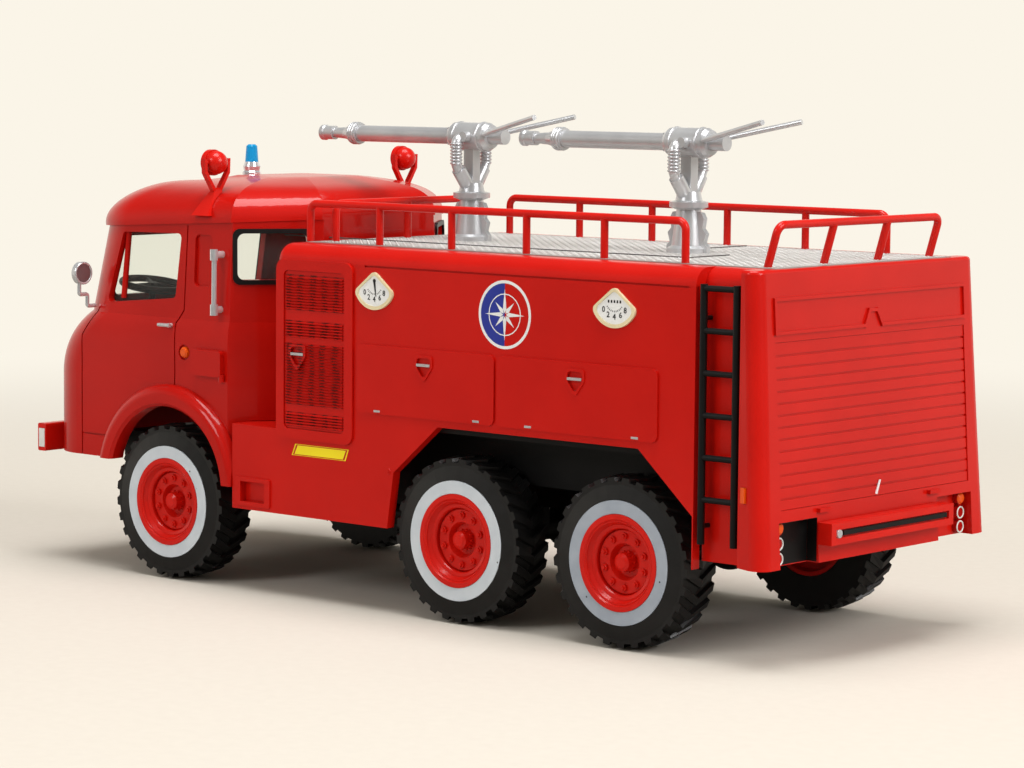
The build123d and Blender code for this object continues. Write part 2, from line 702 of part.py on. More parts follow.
def window_cuts(margin=0.0):
    """The openings of the left half: door window, windscreen half and slanting rear window."""
    m = margin
    pane = [(DOOR_REAR + 0.5 - m, 46.9 - m), (80.4 + m, 45.4 - m)]
    pane += [(77.0 + m, 57.4 + m), (DOOR_REAR - 0.5 - m, 57.6 + m)]
    door = side_plate(pane, (20, 30))
    door = fillet(door.edges().filter_by(Axis.Y), 0.8)
    half = [(0.7 - m, 45.8 - m), (17.6 + m, 45.8 - m), (17.2 + m, 56.0 + m), (0.7 - m, 56.0 + m)]
    screen = front_plate(half, (80, 100))
    screen = fillet(screen.edges().filter_by(Axis.X), 1.0)
    quarter = Pos(0, 0, 54.3) * Box(11.6 + 2 * m, 7, 7.6 + 2 * m)
    quarter = fillet(quarter.edges().filter_by(Axis.Y), 1.2)
    return [door, screen, slanted(quarter)]


def door_seams():
    """Thin bars along the shut lines of the left door, the belt and the sill panel."""
    depth = (CAB_HALF_WIDTH - 6, CAB_HALF_WIDTH + 2)
    sill = 22.8
    runs = (
        # start, end
        ((DOOR_REAR, 32.0), (DOOR_REAR, BELT - 0.8)),
        ((DOOR_REAR, BELT - 0.8), (DOOR_REAR - 1.7, BELT + 1.4)),
        ((DOOR_REAR - 1.7, BELT + 1.4), (DOOR_REAR - 1.9, 59.0)),
        ((DOOR_FRONT, sill), (DOOR_FRONT, 39.6)),
        ((DOOR_FRONT, 39.6), (DOOR_FRONT - 3.6, BELT + 0.9)),
        ((DOOR_FRONT, sill), (DOOR_FRONT - 7.0, sill)),
        ((DOOR_FRONT, CAB_BOTTOM), (DOOR_FRONT, sill)),
    )
    bars = Part()
    for start, end in runs:
        bars += strip(start, end, SEAM, depth)
    return bars


def cab_shell():
    """The pressed cab with its round wheel arches, open underneath."""
    outer = cab_form()
    shell = outer - cab_form(CAB_WALL)
    shell += roof_form() - roof_form(CAB_WALL)
    core = cab_form(SEAM)
    left = door_seams() - core
    shell -= left
    shell -= mirror(left, about=Plane.XZ)
    for side in (-1, 1):
        shell -= Pos(FRONT_AXLE, side * CAB_HALF_WIDTH, ARCH_CENTRE_Z) * Rot(90, 0, 0) * Cylinder(ARCH_R, 12)
        y = (side * (CAB_HALF_WIDTH - 1.6), side * (CAB_HALF_WIDTH + 1))
        panel = rounded_plate((55.4, 59.5, 49.2, 57.6), (min(y), max(y)), 0.9)
        shell -= panel - cab_form(0.5)
        shell += side_box(side)
        shell -= Pos(MARKER_STATION, side * CAB_HALF_WIDTH, MARKER_Z) * Rot(90, 0, 0) * Cylinder(1.3, 0.7)
    shell -= block((CAB_REAR - 1, SKIRT_FRONT + 0.1), (-40, 40), (0, STEP_TOP + 0.1))
    for cut in window_cuts():
        shell -= cut
        shell -= mirror(cut, about=Plane.XZ)
    return shell


def side_box(side):
    """The small lidded box behind the door, fused with the cab's side."""
    limits = (51.6, 58.6, 34.6, 38.9)
    y = sorted((side * (CAB_HALF_WIDTH - 0.3), side * (CAB_HALF_WIDTH + 0.9)))
    box = rounded_plate(limits, y, 0.6)
    hinge = Pos(limits[0] + 0.2, side * (CAB_HALF_WIDTH + 0.35), limits[2] - 0.2) * Cylinder(0.5, 1.2)
    return box + hinge


def fenders():
    """The rolled lips over the front wheels."""
    edge = FENDER_R - 1.8
    roll = ThreePointArc((0, -1.8, FENDER_R), (0, -0.5, FENDER_R - 0.55), (0, 0, edge))
    rest = [(0, ARCH_R + 0.5), (-0.5, ARCH_R), (-4.0, ARCH_R), (-4.0, FENDER_R), (-1.8, FENDER_R)]
    profile = roll + Polyline(roll @ 1, *[(0, y, r) for y, r in rest])
    lip = Pos(FRONT_AXLE, FENDER_Y, ARCH_CENTRE_Z) * revolve(make_face(profile), Axis.Y)
    lip &= block((SKIRT_FRONT + 0.1, 90), (CAB_HALF_WIDTH, 40), (17.0, 40))
    lip -= block((FRONT_AXLE, 90), (0, 40), (0, CAB_BOTTOM))
    return both_sides(lip)


def glazing():
    """The clear panes behind the windows."""
    band = cab_form(CAB_WALL + FIT) - cab_form(CAB_WALL + FIT + GLASS_THICKNESS)
    return both_sides(gather([band & cut for cut in window_cuts(GLASS_MARGIN)]))


def window_seals():
    """The black rubber seals round the windscreen halves and the slanting rear windows."""
    band = cab_form(-SEAL_PROUD) - cab_form(0.0)
    rings = []
    for wide, narrow in list(zip(window_cuts(SEAL_WIDTH), window_cuts()))[1:]:
        rings.append(band & (wide - narrow))
    return both_sides(gather(rings))


def front_grille():
    """The dark radiator grille on the nose: upright bars in a frame."""
    low, high = NOSE_GRILLE
    half = GRILLE_HALF_WIDTH
    x = (CAB_FRONT, CAB_FRONT + 0.6)
    frame = block(x, (-half, half), (low, high))
    frame -= block((x[0] + 0.15, x[1] + 1), (1 - half, half - 1), (low + 1, high - 1))
    bars = int((2 * half - 2) / 1.5)
    for index in range(1, bars):
        y = 1 - half + index * (2 * half - 2) / bars
        frame += block((x[0], x[1] - 0.15), (y - 0.3, y + 0.3), (low + 1, high - 1))
    return frame


def headlamps():
    """The chrome headlamp rims with their bowls, on both sides of the grille."""
    x = CAB_FRONT
    r = HEADLAMP_R
    profile = [(x, 0), (x, r), (x + 0.6, r), (x + 0.8, r - 0.3), (x + 0.6, r - 0.6)]
    profile += [(x + 0.2, r - 0.9), (x + 0.2, 0)]
    return both_sides(Pos(0, HEADLAMP_Y, HEADLAMP_Z) * turned_x(profile))


def headlamp_lenses():
    """The clear domed lenses in the headlamp rims."""
    x = CAB_FRONT + 0.2 + FIT
    r = HEADLAMP_R - 0.9 - FIT
    dome = turned_x([(x, 0), (x, r), (x + 0.3, r), (x + 0.55, r * 0.6), (x + 0.65, 0)])
    return both_sides(Pos(0, HEADLAMP_Y, HEADLAMP_Z) * dome)


def tail_marker(margin=0.0):
    """The flat lens let into the flared tail on the left side, or its seat with a margin."""
    rise = flank_y(TAIL_MARKER_Z) - BODY_HALF_WIDTH
    run = CORNER_FRONT - tail_x(TAIL_MARKER_Z)
    turn = Rot(0, 0, -degrees(atan2(rise, run)))
    lens = turn * Box(0.9 + 2 * margin, 0.7 + 2 * margin, 2.2 + 2 * margin)
    return Pos(CORNER_FRONT - run * 0.3, BODY_HALF_WIDTH + rise * 0.3, TAIL_MARKER_Z) * lens


def marker_lamps():
    """The amber marker lenses: round ones in the cups behind the doors, flat ones on the flared tail."""
    at_door = turned_y([(-0.35, 0), (-0.35, 0.95), (0.1, 0.85), (0.35, 0.6), (0.35, 0)])
    at_door = Pos(MARKER_STATION, CAB_HALF_WIDTH, MARKER_Z) * at_door
    return both_sides(gather([at_door, tail_marker()]))


def door_handles():
    """The chrome pull handles at the rear edge of the doors."""
    y = CAB_HALF_WIDTH
    z = 42.4
    handle = rod((DOOR_REAR + 0.6, y + 0.5, z), (DOOR_REAR + 3.4, y + 0.5, z), 0.3)
    handle += rod((DOOR_REAR + 1.0, y - 0.6, z), (DOOR_REAR + 1.0, y + 0.5, z), 0.35)
    return both_sides(handle - cab_form())


def interior():
    """The dark moulding inside the cab: floor, seats and dashboard."""
    inner = CAB_HALF_WIDTH - CAB_WALL - 0.8
    floor = block((CAB_REAR + 14.0, CAB_FRONT - 9.0), (-inner, inner), (CAB_FLOOR, CAB_FLOOR + 1.2))
    seat = block((56.0, 64.0), (-20.0, 20.0), (CAB_FLOOR + 1.2, 39.5))
    back = block((54.0, 57.0), (-20.0, 20.0), (CAB_FLOOR + 1.2, 49.0))
    back = fillet(back.edges().filter_by(Axis.Y).group_by(Axis.Z)[-1], 0.9)
    dash = block((80.0, 86.0), (-20.0, 20.0), (CAB_FLOOR + 1.2, 43.4))
    dash = fillet(dash.edges().filter_by(Axis.Y).group_by(Axis.Z)[-1], 1.2)
    return floor + seat + back + dash


def steering_wheel():
    """The steering wheel on its column, which ends at the dashboard."""
    wheel = turned_z([(3.3, -0.3), (3.9, -0.3), (3.9, 0.3), (3.3, 0.3)])
    wheel += Cylinder(0.8, 0.7)
    for angle in (90, 210, 330):
        wheel += Rot(0, 0, angle) * Pos(1.9, 0, 0) * Box(3.4, 0.5, 0.4)
    wheel += Pos(0, 0, -3.6) * Cylinder(0.5, 7.2)
    return Pos(76.6, 12.0, 46.6) * Rot(0, -32, 0) * wheel - interior()


# --- fittings -----------------------------------------------------------------------
def bumper_end_panel(margin=0.0):
    """The white end panel let into the left end of the front bumper, or its seat with a margin."""
    x = (FRONT_END - 1.7 - margin, FRONT_END - 0.3 + margin)
    y = (BUMPER_HALF_LENGTH - 0.5 - margin, BUMPER_HALF_LENGTH + 0.05 + margin)
    return block(x, y, (BUMPER[0] + 0.7 - margin, BUMPER[1] - 0.9 + margin))


def front_bumper():
    """The front bumper beam with its two brackets."""
    beam = block((FRONT_END - 2.0, FRONT_END), (-BUMPER_HALF_LENGTH, BUMPER_HALF_LENGTH), BUMPER)
    beam = fillet(beam.edges().filter_by(Axis.Y), 0.35)
    brackets = both_sides(block((CAB_FRONT - 0.5, FRONT_END - 1.0), (12.0, 16.0), (CAB_BOTTOM + 0.6, 22.5)))
    return beam + (brackets - cab_form()) - both_sides(bumper_end_panel(FIT))


def bumper_ends():
    """The white panels in both ends of the front bumper."""
    return both_sides(bumper_end_panel())


def side_rail(y, ends, count):
    """A roof rail along X with equal posts between two stations."""
    front, back = ends
    base = DECK_TOP + 0.1 if abs(y) < DECK_HALF_WIDTH else DECK_TOP
    top = DECK_TOP + RAIL_HEIGHT
    rail = bent_rod([(front, y, base), (front, y, top), (back, y, top), (back, y, base)], RAIL_R, RAIL_BEND)
    pitch = (back - front) / (count - 1)
    for index in range(1, count - 1):
        rail += rod((front + pitch * index, y, base), (front + pitch * index, y, top), RAIL_R)
    return rail


def cross_rail(foot, head, ends, count):
    """A roof rail along Y whose top stands at the station head over feet at the station foot."""
    left, right = ends
    base, top = DECK_TOP + 0.1, DECK_TOP + RAIL_HEIGHT
    path = [(foot, left, base), (head, left, top), (head, right, top), (foot, right, base)]
    rail = bent_rod(path, RAIL_R, RAIL_BEND)
    pitch = (right - left) / (count - 1)
    for index in range(1, count - 1):
        rail += rod((foot, left + pitch * index, base), (head, left + pitch * index, top), RAIL_R)
    return rail & block((-80, 60), (-30, 30), (base, 80))


def monitor_barrel():
    """A water cannon's barrel and head along X, its pivot at the origin."""
    profile = [
        (-7.2, 0), (-7.2, 1.2), (-4.3, 1.2), (-4.3, 1.9), (-3.6, BARREL_HEAD_R), (3.3, BARREL_HEAD_R),
        (3.9, 1.9), (3.9, BARREL_R), (24.9, BARREL_R), (24.9, 1.75), (26.6, 1.75), (26.9, BARREL_R),
        (28.2, 1.0), (30.8, 0.8), (30.8, 1.15), (32.6, 1.15), (32.9, 1.3), (33.5, 1.3), (33.5, 0.8),
        (32.4, 0.6), (32.4, 0),
    ]
    barrel = turned_x(profile)
    for side in (-1, 1):
        barrel += rod((-3.5, side * 1.6, 0.3), (-3.5 - HANDLE_REACH, side * 5.0, 3.4), 0.42)
        barrel += rod((-0.9, side * 1.0, 0.0), (-0.9, side * 3.4, 0.0), 0.8)
    return barrel


def web_plate(side):
    """The plate with a wavy edge on one side of a water cannon's pedestal."""
    edge = [(1.4, 0.0), (3.9, 0.0), (3.9, 1.0), (3.3, 1.7), (3.7, 3.0)]
    edge += [(3.0, 3.8), (3.3, 5.3), (2.8, 6.2), (1.4, 6.4)]
    return side_plate([(side * x, z) for x, z in edge], (-0.45, 0.45))


def monitor_stand():
    """A water cannon's pedestal, forked body, column and two hoses; the deck is at z = 0."""
    profile = [(0, 0), (3.3, 0), (3.3, 0.7), (2.6, 1.1), (1.9, 6.6)]
    profile += [(3.0, 7.0), (3.0, 7.8), (2.1, 8.0), (1.8, 9.4), (0, 9.4)]
    foot = turned_z(profile)
    foot += web_plate(-1) + web_plate(1)
    foot += block((-1.0, 1.0), (-0.9, 0.9), (9.0, MONITOR_BARREL_Z - 1.0))
    for side in (-1, 1):
        y = side * HOSE_Y
        foot += rod((0, side * 0.4, 8.2), (0.2, side * (HOSE_Y - 0.6), 11.6), 1.15)
        hose = [(0.2, side * (HOSE_Y - 1.0), 10.6), (0.2, y, 12.6), (0.2, y, MONITOR_BARREL_Z - 0.6)]
        hose += [(0.2, side * 1.0, MONITOR_BARREL_Z + 0.2)]
        foot += bent_rod(hose, 0.85, 0.9)
    return foot - Pos(0, 0, MONITOR_BARREL_Z) * monitor_barrel()


def beacon_base():
    """The chrome socket of the blue lamp."""
    profile = [(0, 0), (1.6, 0), (1.6, 0.6), (1.35, 0.9), (1.5, 1.6), (1.2, 2.4), (0, 2.4)]
    return Pos(BEACON_STATION, 0, ROOF_TOP - 0.4) * turned_z(profile)


def beacon_lens():
    """The blue lens of the lamp."""
    profile = [(0, 0), (1.15, 0), (0.95, 2.7), (0.6, 3.0), (0, 3.0)]
    return Pos(BEACON_STATION, 0, ROOF_TOP + 2.0) * turned_z(profile)


def searchlight(side):
    """A round lamp in a fork, on a foot that follows the roof's side."""
    middle, end = [(x, 0, (LAMP_R**2 - x**2) ** 0.5) for x in (-0.8, 0.4)]
    bowl = ThreePointArc((-LAMP_R, 0, 0), middle, end)
    lip = LAMP_R + 0.2
    face = Polyline(bowl @ 1, (0.4, 0, lip), (1.4, 0, lip), (1.4, 0, 0), (-LAMP_R, 0, 0))
    lamp = revolve(make_face(bowl + face), Axis.X)
    lamp += Rot(90, 0, 0) * Cylinder(0.3, 5.4)
    arch = [(-2.9, 0.7), (-2.35, 0.7), (-2.25, -1.5), (-0.5, -4.1), (0.5, -4.1), (2.25, -1.5), (2.35, 0.7)]
    arch += [(2.9, 0.7), (2.8, -1.7), (0.8, -4.8), (-0.8, -4.8), (-2.8, -1.7)]
    fork = front_plate(arch, (-0.45, 0.45))
    outer = LAMP_Y + 0.6
    outline = [(LAMP_Y - 4.0, 60.8), (outer + 3.2, 60.8), (outer, LAMP_Z - 4.4), (LAMP_Y - 0.6, LAMP_Z - 4.4)]
    foot = front_plate(outline, (LAMP_STATION - 2.0, LAMP_STATION + 2.0))
    taper = [(-2.2, 60.0), (2.2, 60.0), (0.5, LAMP_Z - 4.3), (-0.5, LAMP_Z - 4.3)]
    foot &= side_plate([(LAMP_STATION + x, z) for x, z in taper], (0, 40))
    foot -= roof_form(-FIT)
    light = Pos(LAMP_STATION, LAMP_Y, LAMP_Z) * (fork + lamp) + foot
    return light if side > 0 else mirror(light, about=Plane.XZ)


def mirror_arm(side):
    """A door mirror's arm and its round case."""
    x = MIRROR_STATION
    reach = CAB_HALF_WIDTH + 0.8
    out = CAB_HALF_WIDTH + 2.6
    path = [(x, reach - 1.8, 44.6), (x, reach, 44.6), (x, reach, 46.6), (x, out, 46.6), (x, out, 49.0)]
    arm = bent_rod(path, 0.35, 0.4) - cab_form()
    case = Pos(x, out - 0.6, 50.2) * Rot(0, 90, 0) * Cylinder(1.95, 0.8)
    piece = arm + case
    return piece if side > 0 else mirror(piece, about=Plane.XZ)


def grab_handle():
    """The chrome handles behind the doors."""
    y = CAB_HALF_WIDTH + 0.9
    x = HANDLE_STATION
    bar = rod((x, y, 45.6), (x - 0.1, y, 54.8), 0.42)
    for z in (45.6, 54.6):
        bar += rod((x, y, z), (x, CAB_HALF_WIDTH - 2.0, z), 0.6)
        bar += rod((x, y, z - 0.9), (x, y, z + 0.9), 0.65)
    return both_sides(bar - cab_form())


def ladder():
    """The dark ladder in the recess behind the left side wall."""
    y = BODY_HALF_WIDTH - LADDER_SET_IN
    front, rear = LADDER_STATIONS
    rails = Part()
    for station in LADDER_STATIONS:
        rails += rod((station, y, LADDER_FOOT), (station, y, LADDER_TOP), LADDER_RAIL_R)
    pitch = (LADDER_TOP - LADDER_FOOT - 1.0) / RUNGS
    for index in range(RUNGS):
        z = LADDER_TOP - 0.6 - index * pitch
        rails += rod((front, y, z), (rear, y, z), LADDER_RAIL_R - 0.1)
    for z in (20.0, 50.0):
        for station in LADDER_STATIONS:
            rails += rod((station, y, z), (station, BODY_HALF_WIDTH - LADDER_RECESS, z), 0.35)
    return rails


def rear_bar():
    """The red step bar across the tail, with the groove of its black strip."""
    half = STEP_BAR_HALF_LENGTH
    low, high = STEP_BAR
    bar = block((REAR_END, REAR_BOTTOM), (-half, half), (low, high))
    return bar - block((REAR_END - 1, REAR_END + 0.5), (-half + 1.2, half - 1.2), (low + 1.0, high - 1.0))


def rear_lamps():
    """The lamp discs inside the two rear pockets, two red ones under an amber one."""
    discs = Part()
    for z in (15.9, 18.1, 20.3):
        disc = Rot(0, 90, 0) * Cylinder(TAIL_LAMP_R, 0.8)
        discs += Pos(REAR_BOTTOM + POCKET_DEPTH - 0.45, TAIL_LAMP_Y, z) * disc
    return both_sides(discs)


def silencer():
    """The round silencers beside the frame rails, hung from the underbody on two straps each."""
    rear, front, y, z = SILENCER
    can = rod((rear, y, z), (front, y, z), SILENCER_R)
    for station in (rear + 9.0, front - 3.0):
        can += block((station - 0.8, station + 0.8), (y - 0.8, y + 0.8), (z, RAIL_TOP))
    return both_sides(can)


PIECES = {
    "chassis": chassis,
    "drive_shafts": drive_shafts,
    "body_shell": body_shell,
    "deck_plate": deck,
    "cab_shell": cab_shell,
    "front_fenders": fenders,
    "cab_glazing": glazing,
    "cab_interior": interior,
    "steering_wheel": steering_wheel,
    "front_bumper": front_bumper,
    "bumper_end_caps": bumper_ends,
    "beacon_base": beacon_base,
    "beacon_lens": beacon_lens,
    "grab_handles": grab_handle,
    "ladder": ladder,
    "rear_step_bar": rear_bar,
    "rear_lamps": rear_lamps,
    "grille_doors": grille_doors,
    "side_lockers": side_lockers,
    "latch_bars": latch_bars,
    "gauge_bezels": gauge_bezels,
    "gauge_dials": gauge_dials,
    "rear_shutter": rear_shutter,
    "window_seals": window_seals,
    "front_grille": front_grille,
    "headlamps": headlamps,
    "headlamp_lenses": headlamp_lenses,
    "marker_lamps": marker_lamps,
    "silencer": silencer,
    "door_handles": door_handles,
}

AXLES = (
    # name, station
    ("front", FRONT_AXLE),
    ("middle", MIDDLE_AXLE),
    ("rear", REAR_AXLE),
)


def main():
    os.makedirs("parts", exist_ok=True)
    for name, build in PIECES.items():
        write(name, build())
    one_tyre, one_rim, one_ring = tyre(), rim(), side_ring()
    for name, station in AXLES:
        write(f"{name}_tyres", at_wheels(one_tyre, station))
        write(f"{name}_rims", at_wheels(one_rim, station))
        write(f"{name}_side_rings", at_wheels(one_ring, station))
        write(f"{name}_axle", axle(station))
        write(f"{name}_axle_housing", axle_beam(station))
    for name, side in (("left", 1), ("right", -1)):
        write(f"searchlight_{name}", searchlight(side))
        write(f"mirror_{name}", mirror_arm(side))
    write("left_rail", side_rail(RAIL_Y, (36.9, -39.4), 6))
    write("right_rail", side_rail(-RAIL_Y, (31.8, -45.2), 6))
    write("front_rail", cross_rail(34.0, 34.0, (18.6, -15.4), 3))
    write("rear_rail", cross_rail(-53.6, -55.4, (20.6, -20.6), 4))
    for name, station in zip(("front", "rear"), MONITOR_STATIONS):
        place = Pos(station, 0, DECK_TOP + 0.1)
        write(f"monitor_{name}_barrel", place * Pos(0, 0, MONITOR_BARREL_Z) * monitor_barrel())
        write(f"monitor_{name}_stand", place * monitor_stand())


main()
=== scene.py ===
import logging
import math
from dataclasses import dataclass, field
from enum import Enum
from typing import Mapping, Sequence

import bmesh
import bpy
from mathutils import Matrix, Vector


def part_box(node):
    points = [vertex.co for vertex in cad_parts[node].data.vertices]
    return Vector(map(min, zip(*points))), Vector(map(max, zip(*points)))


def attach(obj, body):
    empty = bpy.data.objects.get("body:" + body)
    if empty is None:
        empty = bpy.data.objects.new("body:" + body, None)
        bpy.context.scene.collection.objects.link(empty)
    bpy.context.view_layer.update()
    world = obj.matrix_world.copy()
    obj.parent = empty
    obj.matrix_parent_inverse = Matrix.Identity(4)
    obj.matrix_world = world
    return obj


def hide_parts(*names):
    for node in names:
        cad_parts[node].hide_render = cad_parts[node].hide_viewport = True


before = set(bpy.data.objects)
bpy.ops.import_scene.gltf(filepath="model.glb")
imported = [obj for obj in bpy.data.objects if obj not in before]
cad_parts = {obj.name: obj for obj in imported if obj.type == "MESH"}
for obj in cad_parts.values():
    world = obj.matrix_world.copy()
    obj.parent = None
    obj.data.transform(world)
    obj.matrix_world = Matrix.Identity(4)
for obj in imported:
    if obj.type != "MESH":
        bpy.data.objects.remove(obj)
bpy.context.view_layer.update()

log = logging.getLogger("fire_truck")
MM = 0.001
# Where the frame's origin lies ahead of the middle axle, in millimetres.
ORIGIN_STATION = 18.3
# How far the body's sides stand from the centreline, in millimetres.
SIDE_Y = 27.8
# The heights between which each group of louvres lies, in millimetres.
LOUVRE_BANDS = ((28.1, 30.4), (31.6, 41.5), (42.3, 45.1), (46.7, 52.5))
# How many sides the section of a round ring has.
RING_SIDES = 10
# Edges that turn by more than this many radians get a piece's bevel.
BEVEL_ANGLE = 0.6
# Edges that turn by more than this many degrees stay sharp in a smooth piece.
SHARP_ANGLE = 35
# The scale at which a wave texture has about one band a metre.
WAVE_SCALE = 0.31
LEFT, RIGHT = 1, -1
FORWARD = Vector((1, 0, 0))
UP = Vector((0, 0, 1))
AXLES = ("front", "middle", "rear")
Point = tuple[float, float, float]
Colour = tuple[float, float, float, float]
Tree = bpy.types.NodeTree
Node = bpy.types.Node
Socket = bpy.types.NodeSocket


class Body(Enum):
    """The moving bodies that a piece can ride on."""

    ROOT = "root"
    FRONT_WHEELS = "front_wheels"
    MIDDLE_WHEELS = "middle_wheels"
    REAR_WHEELS = "rear_wheels"


# --- colour and nodes ---------------------------------------------------------------
def linear(colour: str) -> Colour:
    """Turns an sRGB hex colour to linear RGBA.

    Args:
        colour: the colour as six hex digits after a hash.

    Returns:
        Linear red, green and blue, and an alpha of 1.
    """
    parts = [int(colour[i:i + 2], 16) / 255 for i in (1, 3, 5)]
    flat = [c / 12.92 if c <= 0.04045 else ((c + 0.055) / 1.055) ** 2.4 for c in parts]
    return (flat[0], flat[1], flat[2], 1.0)


def add(tree: Tree, kind: str, inputs: Mapping[str | int, object] | None = None, **settings: object) -> Node:
    """Adds one node with its settings and its inputs.

    Args:
        tree: the node tree that gets the node.
        kind: the node's type name.
        inputs: what feeds each input, by name or number: another node's output socket, or a value.
        settings: attributes of the node itself.

    Returns:
        The new node.
    """
    node = tree.nodes.new(kind)
    for key, value in settings.items():
        setattr(node, key, value)
    for key, source in (inputs or {}).items():
        if isinstance(source, Socket):
            tree.links.new(source, node.inputs[key])
        else:
            node.inputs[key].default_value = source
    return node


def combine(tree: Tree, operation: str, first: Socket | float, second: Socket | float) -> Socket:
    """Works out one operation on two sockets or numbers, and returns the result's socket."""
    return add(tree, "ShaderNodeMath", {0: first, 1: second}, operation=operation).outputs["Value"]


def blend(tree: Tree, share: Socket, first: Socket | Colour, second: Socket | Colour) -> Socket:
    """Mixes a share of the second colour into the first, and returns the mixture's socket."""
    return add(tree, "ShaderNodeMix", {0: share, 6: first, 7: second}, data_type="RGBA").outputs[2]


def join(tree: Tree, share: Socket | float, first: Socket, second: Socket) -> Socket:
    """Mixes a share of the second shader into the first, and returns the mixture's socket."""
    return add(tree, "ShaderNodeMixShader", {0: share, 1: first, 2: second}).outputs["Shader"]


def ramp(
    tree: Tree, value: Socket, start: float, end: float,
    low: float = 0.0, high: float = 1.0, soft: bool = False,
) -> Socket:
    """Turns a value into another, which stays level past both ends.

    Args:
        tree: the node tree that gets the node.
        value: the value's socket.
        start: the value that gives the low result.
        end: the value that gives the high result.
        low: the low result.
        high: the high result.
        soft: whether the ramp eases in and out.

    Returns:
        The result's socket.
    """
    inputs = {"Value": value, "From Min": start, "From Max": end, "To Min": low, "To Max": high}
    easing = "SMOOTHSTEP" if soft else "LINEAR"
    return add(tree, "ShaderNodeMapRange", inputs, interpolation_type=easing).outputs["Result"]


def bump(tree: Tree, height: Socket, distance_mm: float, strength: float = 1.0) -> Socket:
    """Turns a height into a relief of that many millimetres, and returns its normal's socket."""
    inputs = {"Height": height, "Distance": distance_mm * MM, "Strength": strength}
    return add(tree, "ShaderNodeBump", inputs).outputs["Normal"]


def per_mm(size: float) -> float:
    """Returns the texture scale whose features are that many millimetres across."""
    return 1.0 / (size * MM)


def blank_material(name: str) -> bpy.types.Material:
    """Makes a material with no nodes in its tree."""
    material = bpy.data.materials.new(name)
    material.use_nodes = True
    material.node_tree.nodes.clear()
    return material


# --- finishes -----------------------------------------------------------------------
@dataclass(frozen=True)
class Finish:
    """A surface finish: the common part of all of them, with a grain in colour and height.

    Args:
        name: the material's name.
        colour: its main colour, sRGB hex.
        shade: the second colour that the mottling goes towards.
        roughness: the shader's roughness.
        patch_mm: the size of the colour's patches.
        grain_mm: the size of the surface's grain.
        relief_mm: the depth of the grain.
        coat: the weight of the clear coat.
        coat_roughness: the roughness of the clear coat.
        metallic: how far it is a metal.
        specular: the strength of the gloss under the coat.
    """

    name: str
    colour: str
    shade: str
    roughness: float
    patch_mm: float = 6.0
    grain_mm: float = 0.4
    relief_mm: float = 0.004
    coat: float = 0.0
    coat_roughness: float = 0.03
    metallic: float = 0.0
    specular: float = 0.5

    def material(self) -> bpy.types.Material:
        """Returns the finish's material, made at its first use."""
        known = bpy.data.materials.get(self.name)
        if known is not None:
            return known
        material = blank_material(self.name)
        material.diffuse_color = linear(self.colour)
        tree = material.node_tree
        place = add(tree, "ShaderNodeTexCoord").outputs["Object"]
        shader = add(tree, "ShaderNodeBsdfPrincipled", {
            "Base Color": self.paint(tree, place),
            "Normal": self.relief(tree, place),
            "Roughness": self.roughness,
            "Metallic": self.metallic,
            "Coat Weight": self.coat,
            "Coat Roughness": self.coat_roughness,
            "Specular IOR Level": self.specular,
        })
        add(tree, "ShaderNodeOutputMaterial", {"Surface": self.surface(tree, shader.outputs["BSDF"])})
        return material

    def surface(self, tree: Tree, body: Socket) -> Socket:
        """Returns the socket that goes to the material's output."""
        return body

    def paint(self, tree: Tree, place: Socket) -> Socket:
        """Mixes the colour with its shade in soft patches.

        Args:
            tree: the material's tree.
            place: the socket with the object coordinates.

        Returns:
            The colour's socket.
        """
        patches = add(tree, "ShaderNodeTexNoise", {
            "Vector": place, "Scale": per_mm(self.patch_mm), "Detail": 4.0})
        share = ramp(tree, patches.outputs["Fac"], 0.35, 0.68)
        return blend(tree, share, linear(self.colour), linear(self.shade))

    def relief(self, tree: Tree, place: Socket) -> Socket:
        """Makes the fine relief of the surface, and returns its normal's socket."""
        grain = add(tree, "ShaderNodeTexNoise", {
            "Vector": place, "Scale": per_mm(self.grain_mm), "Detail": 2.0})
        return bump(tree, grain.outputs["Fac"], self.relief_mm)


@dataclass(frozen=True)
class Enamel(Finish):
    """Gloss spray enamel on a zinc casting: a clear coat over it and a faint orange peel."""

    roughness: float = 0.42
    patch_mm: float = 14.0
    grain_mm: float = 1.3
    relief_mm: float = 0.005
    coat: float = 0.42
    coat_roughness: float = 0.1
    specular: float = 0.1


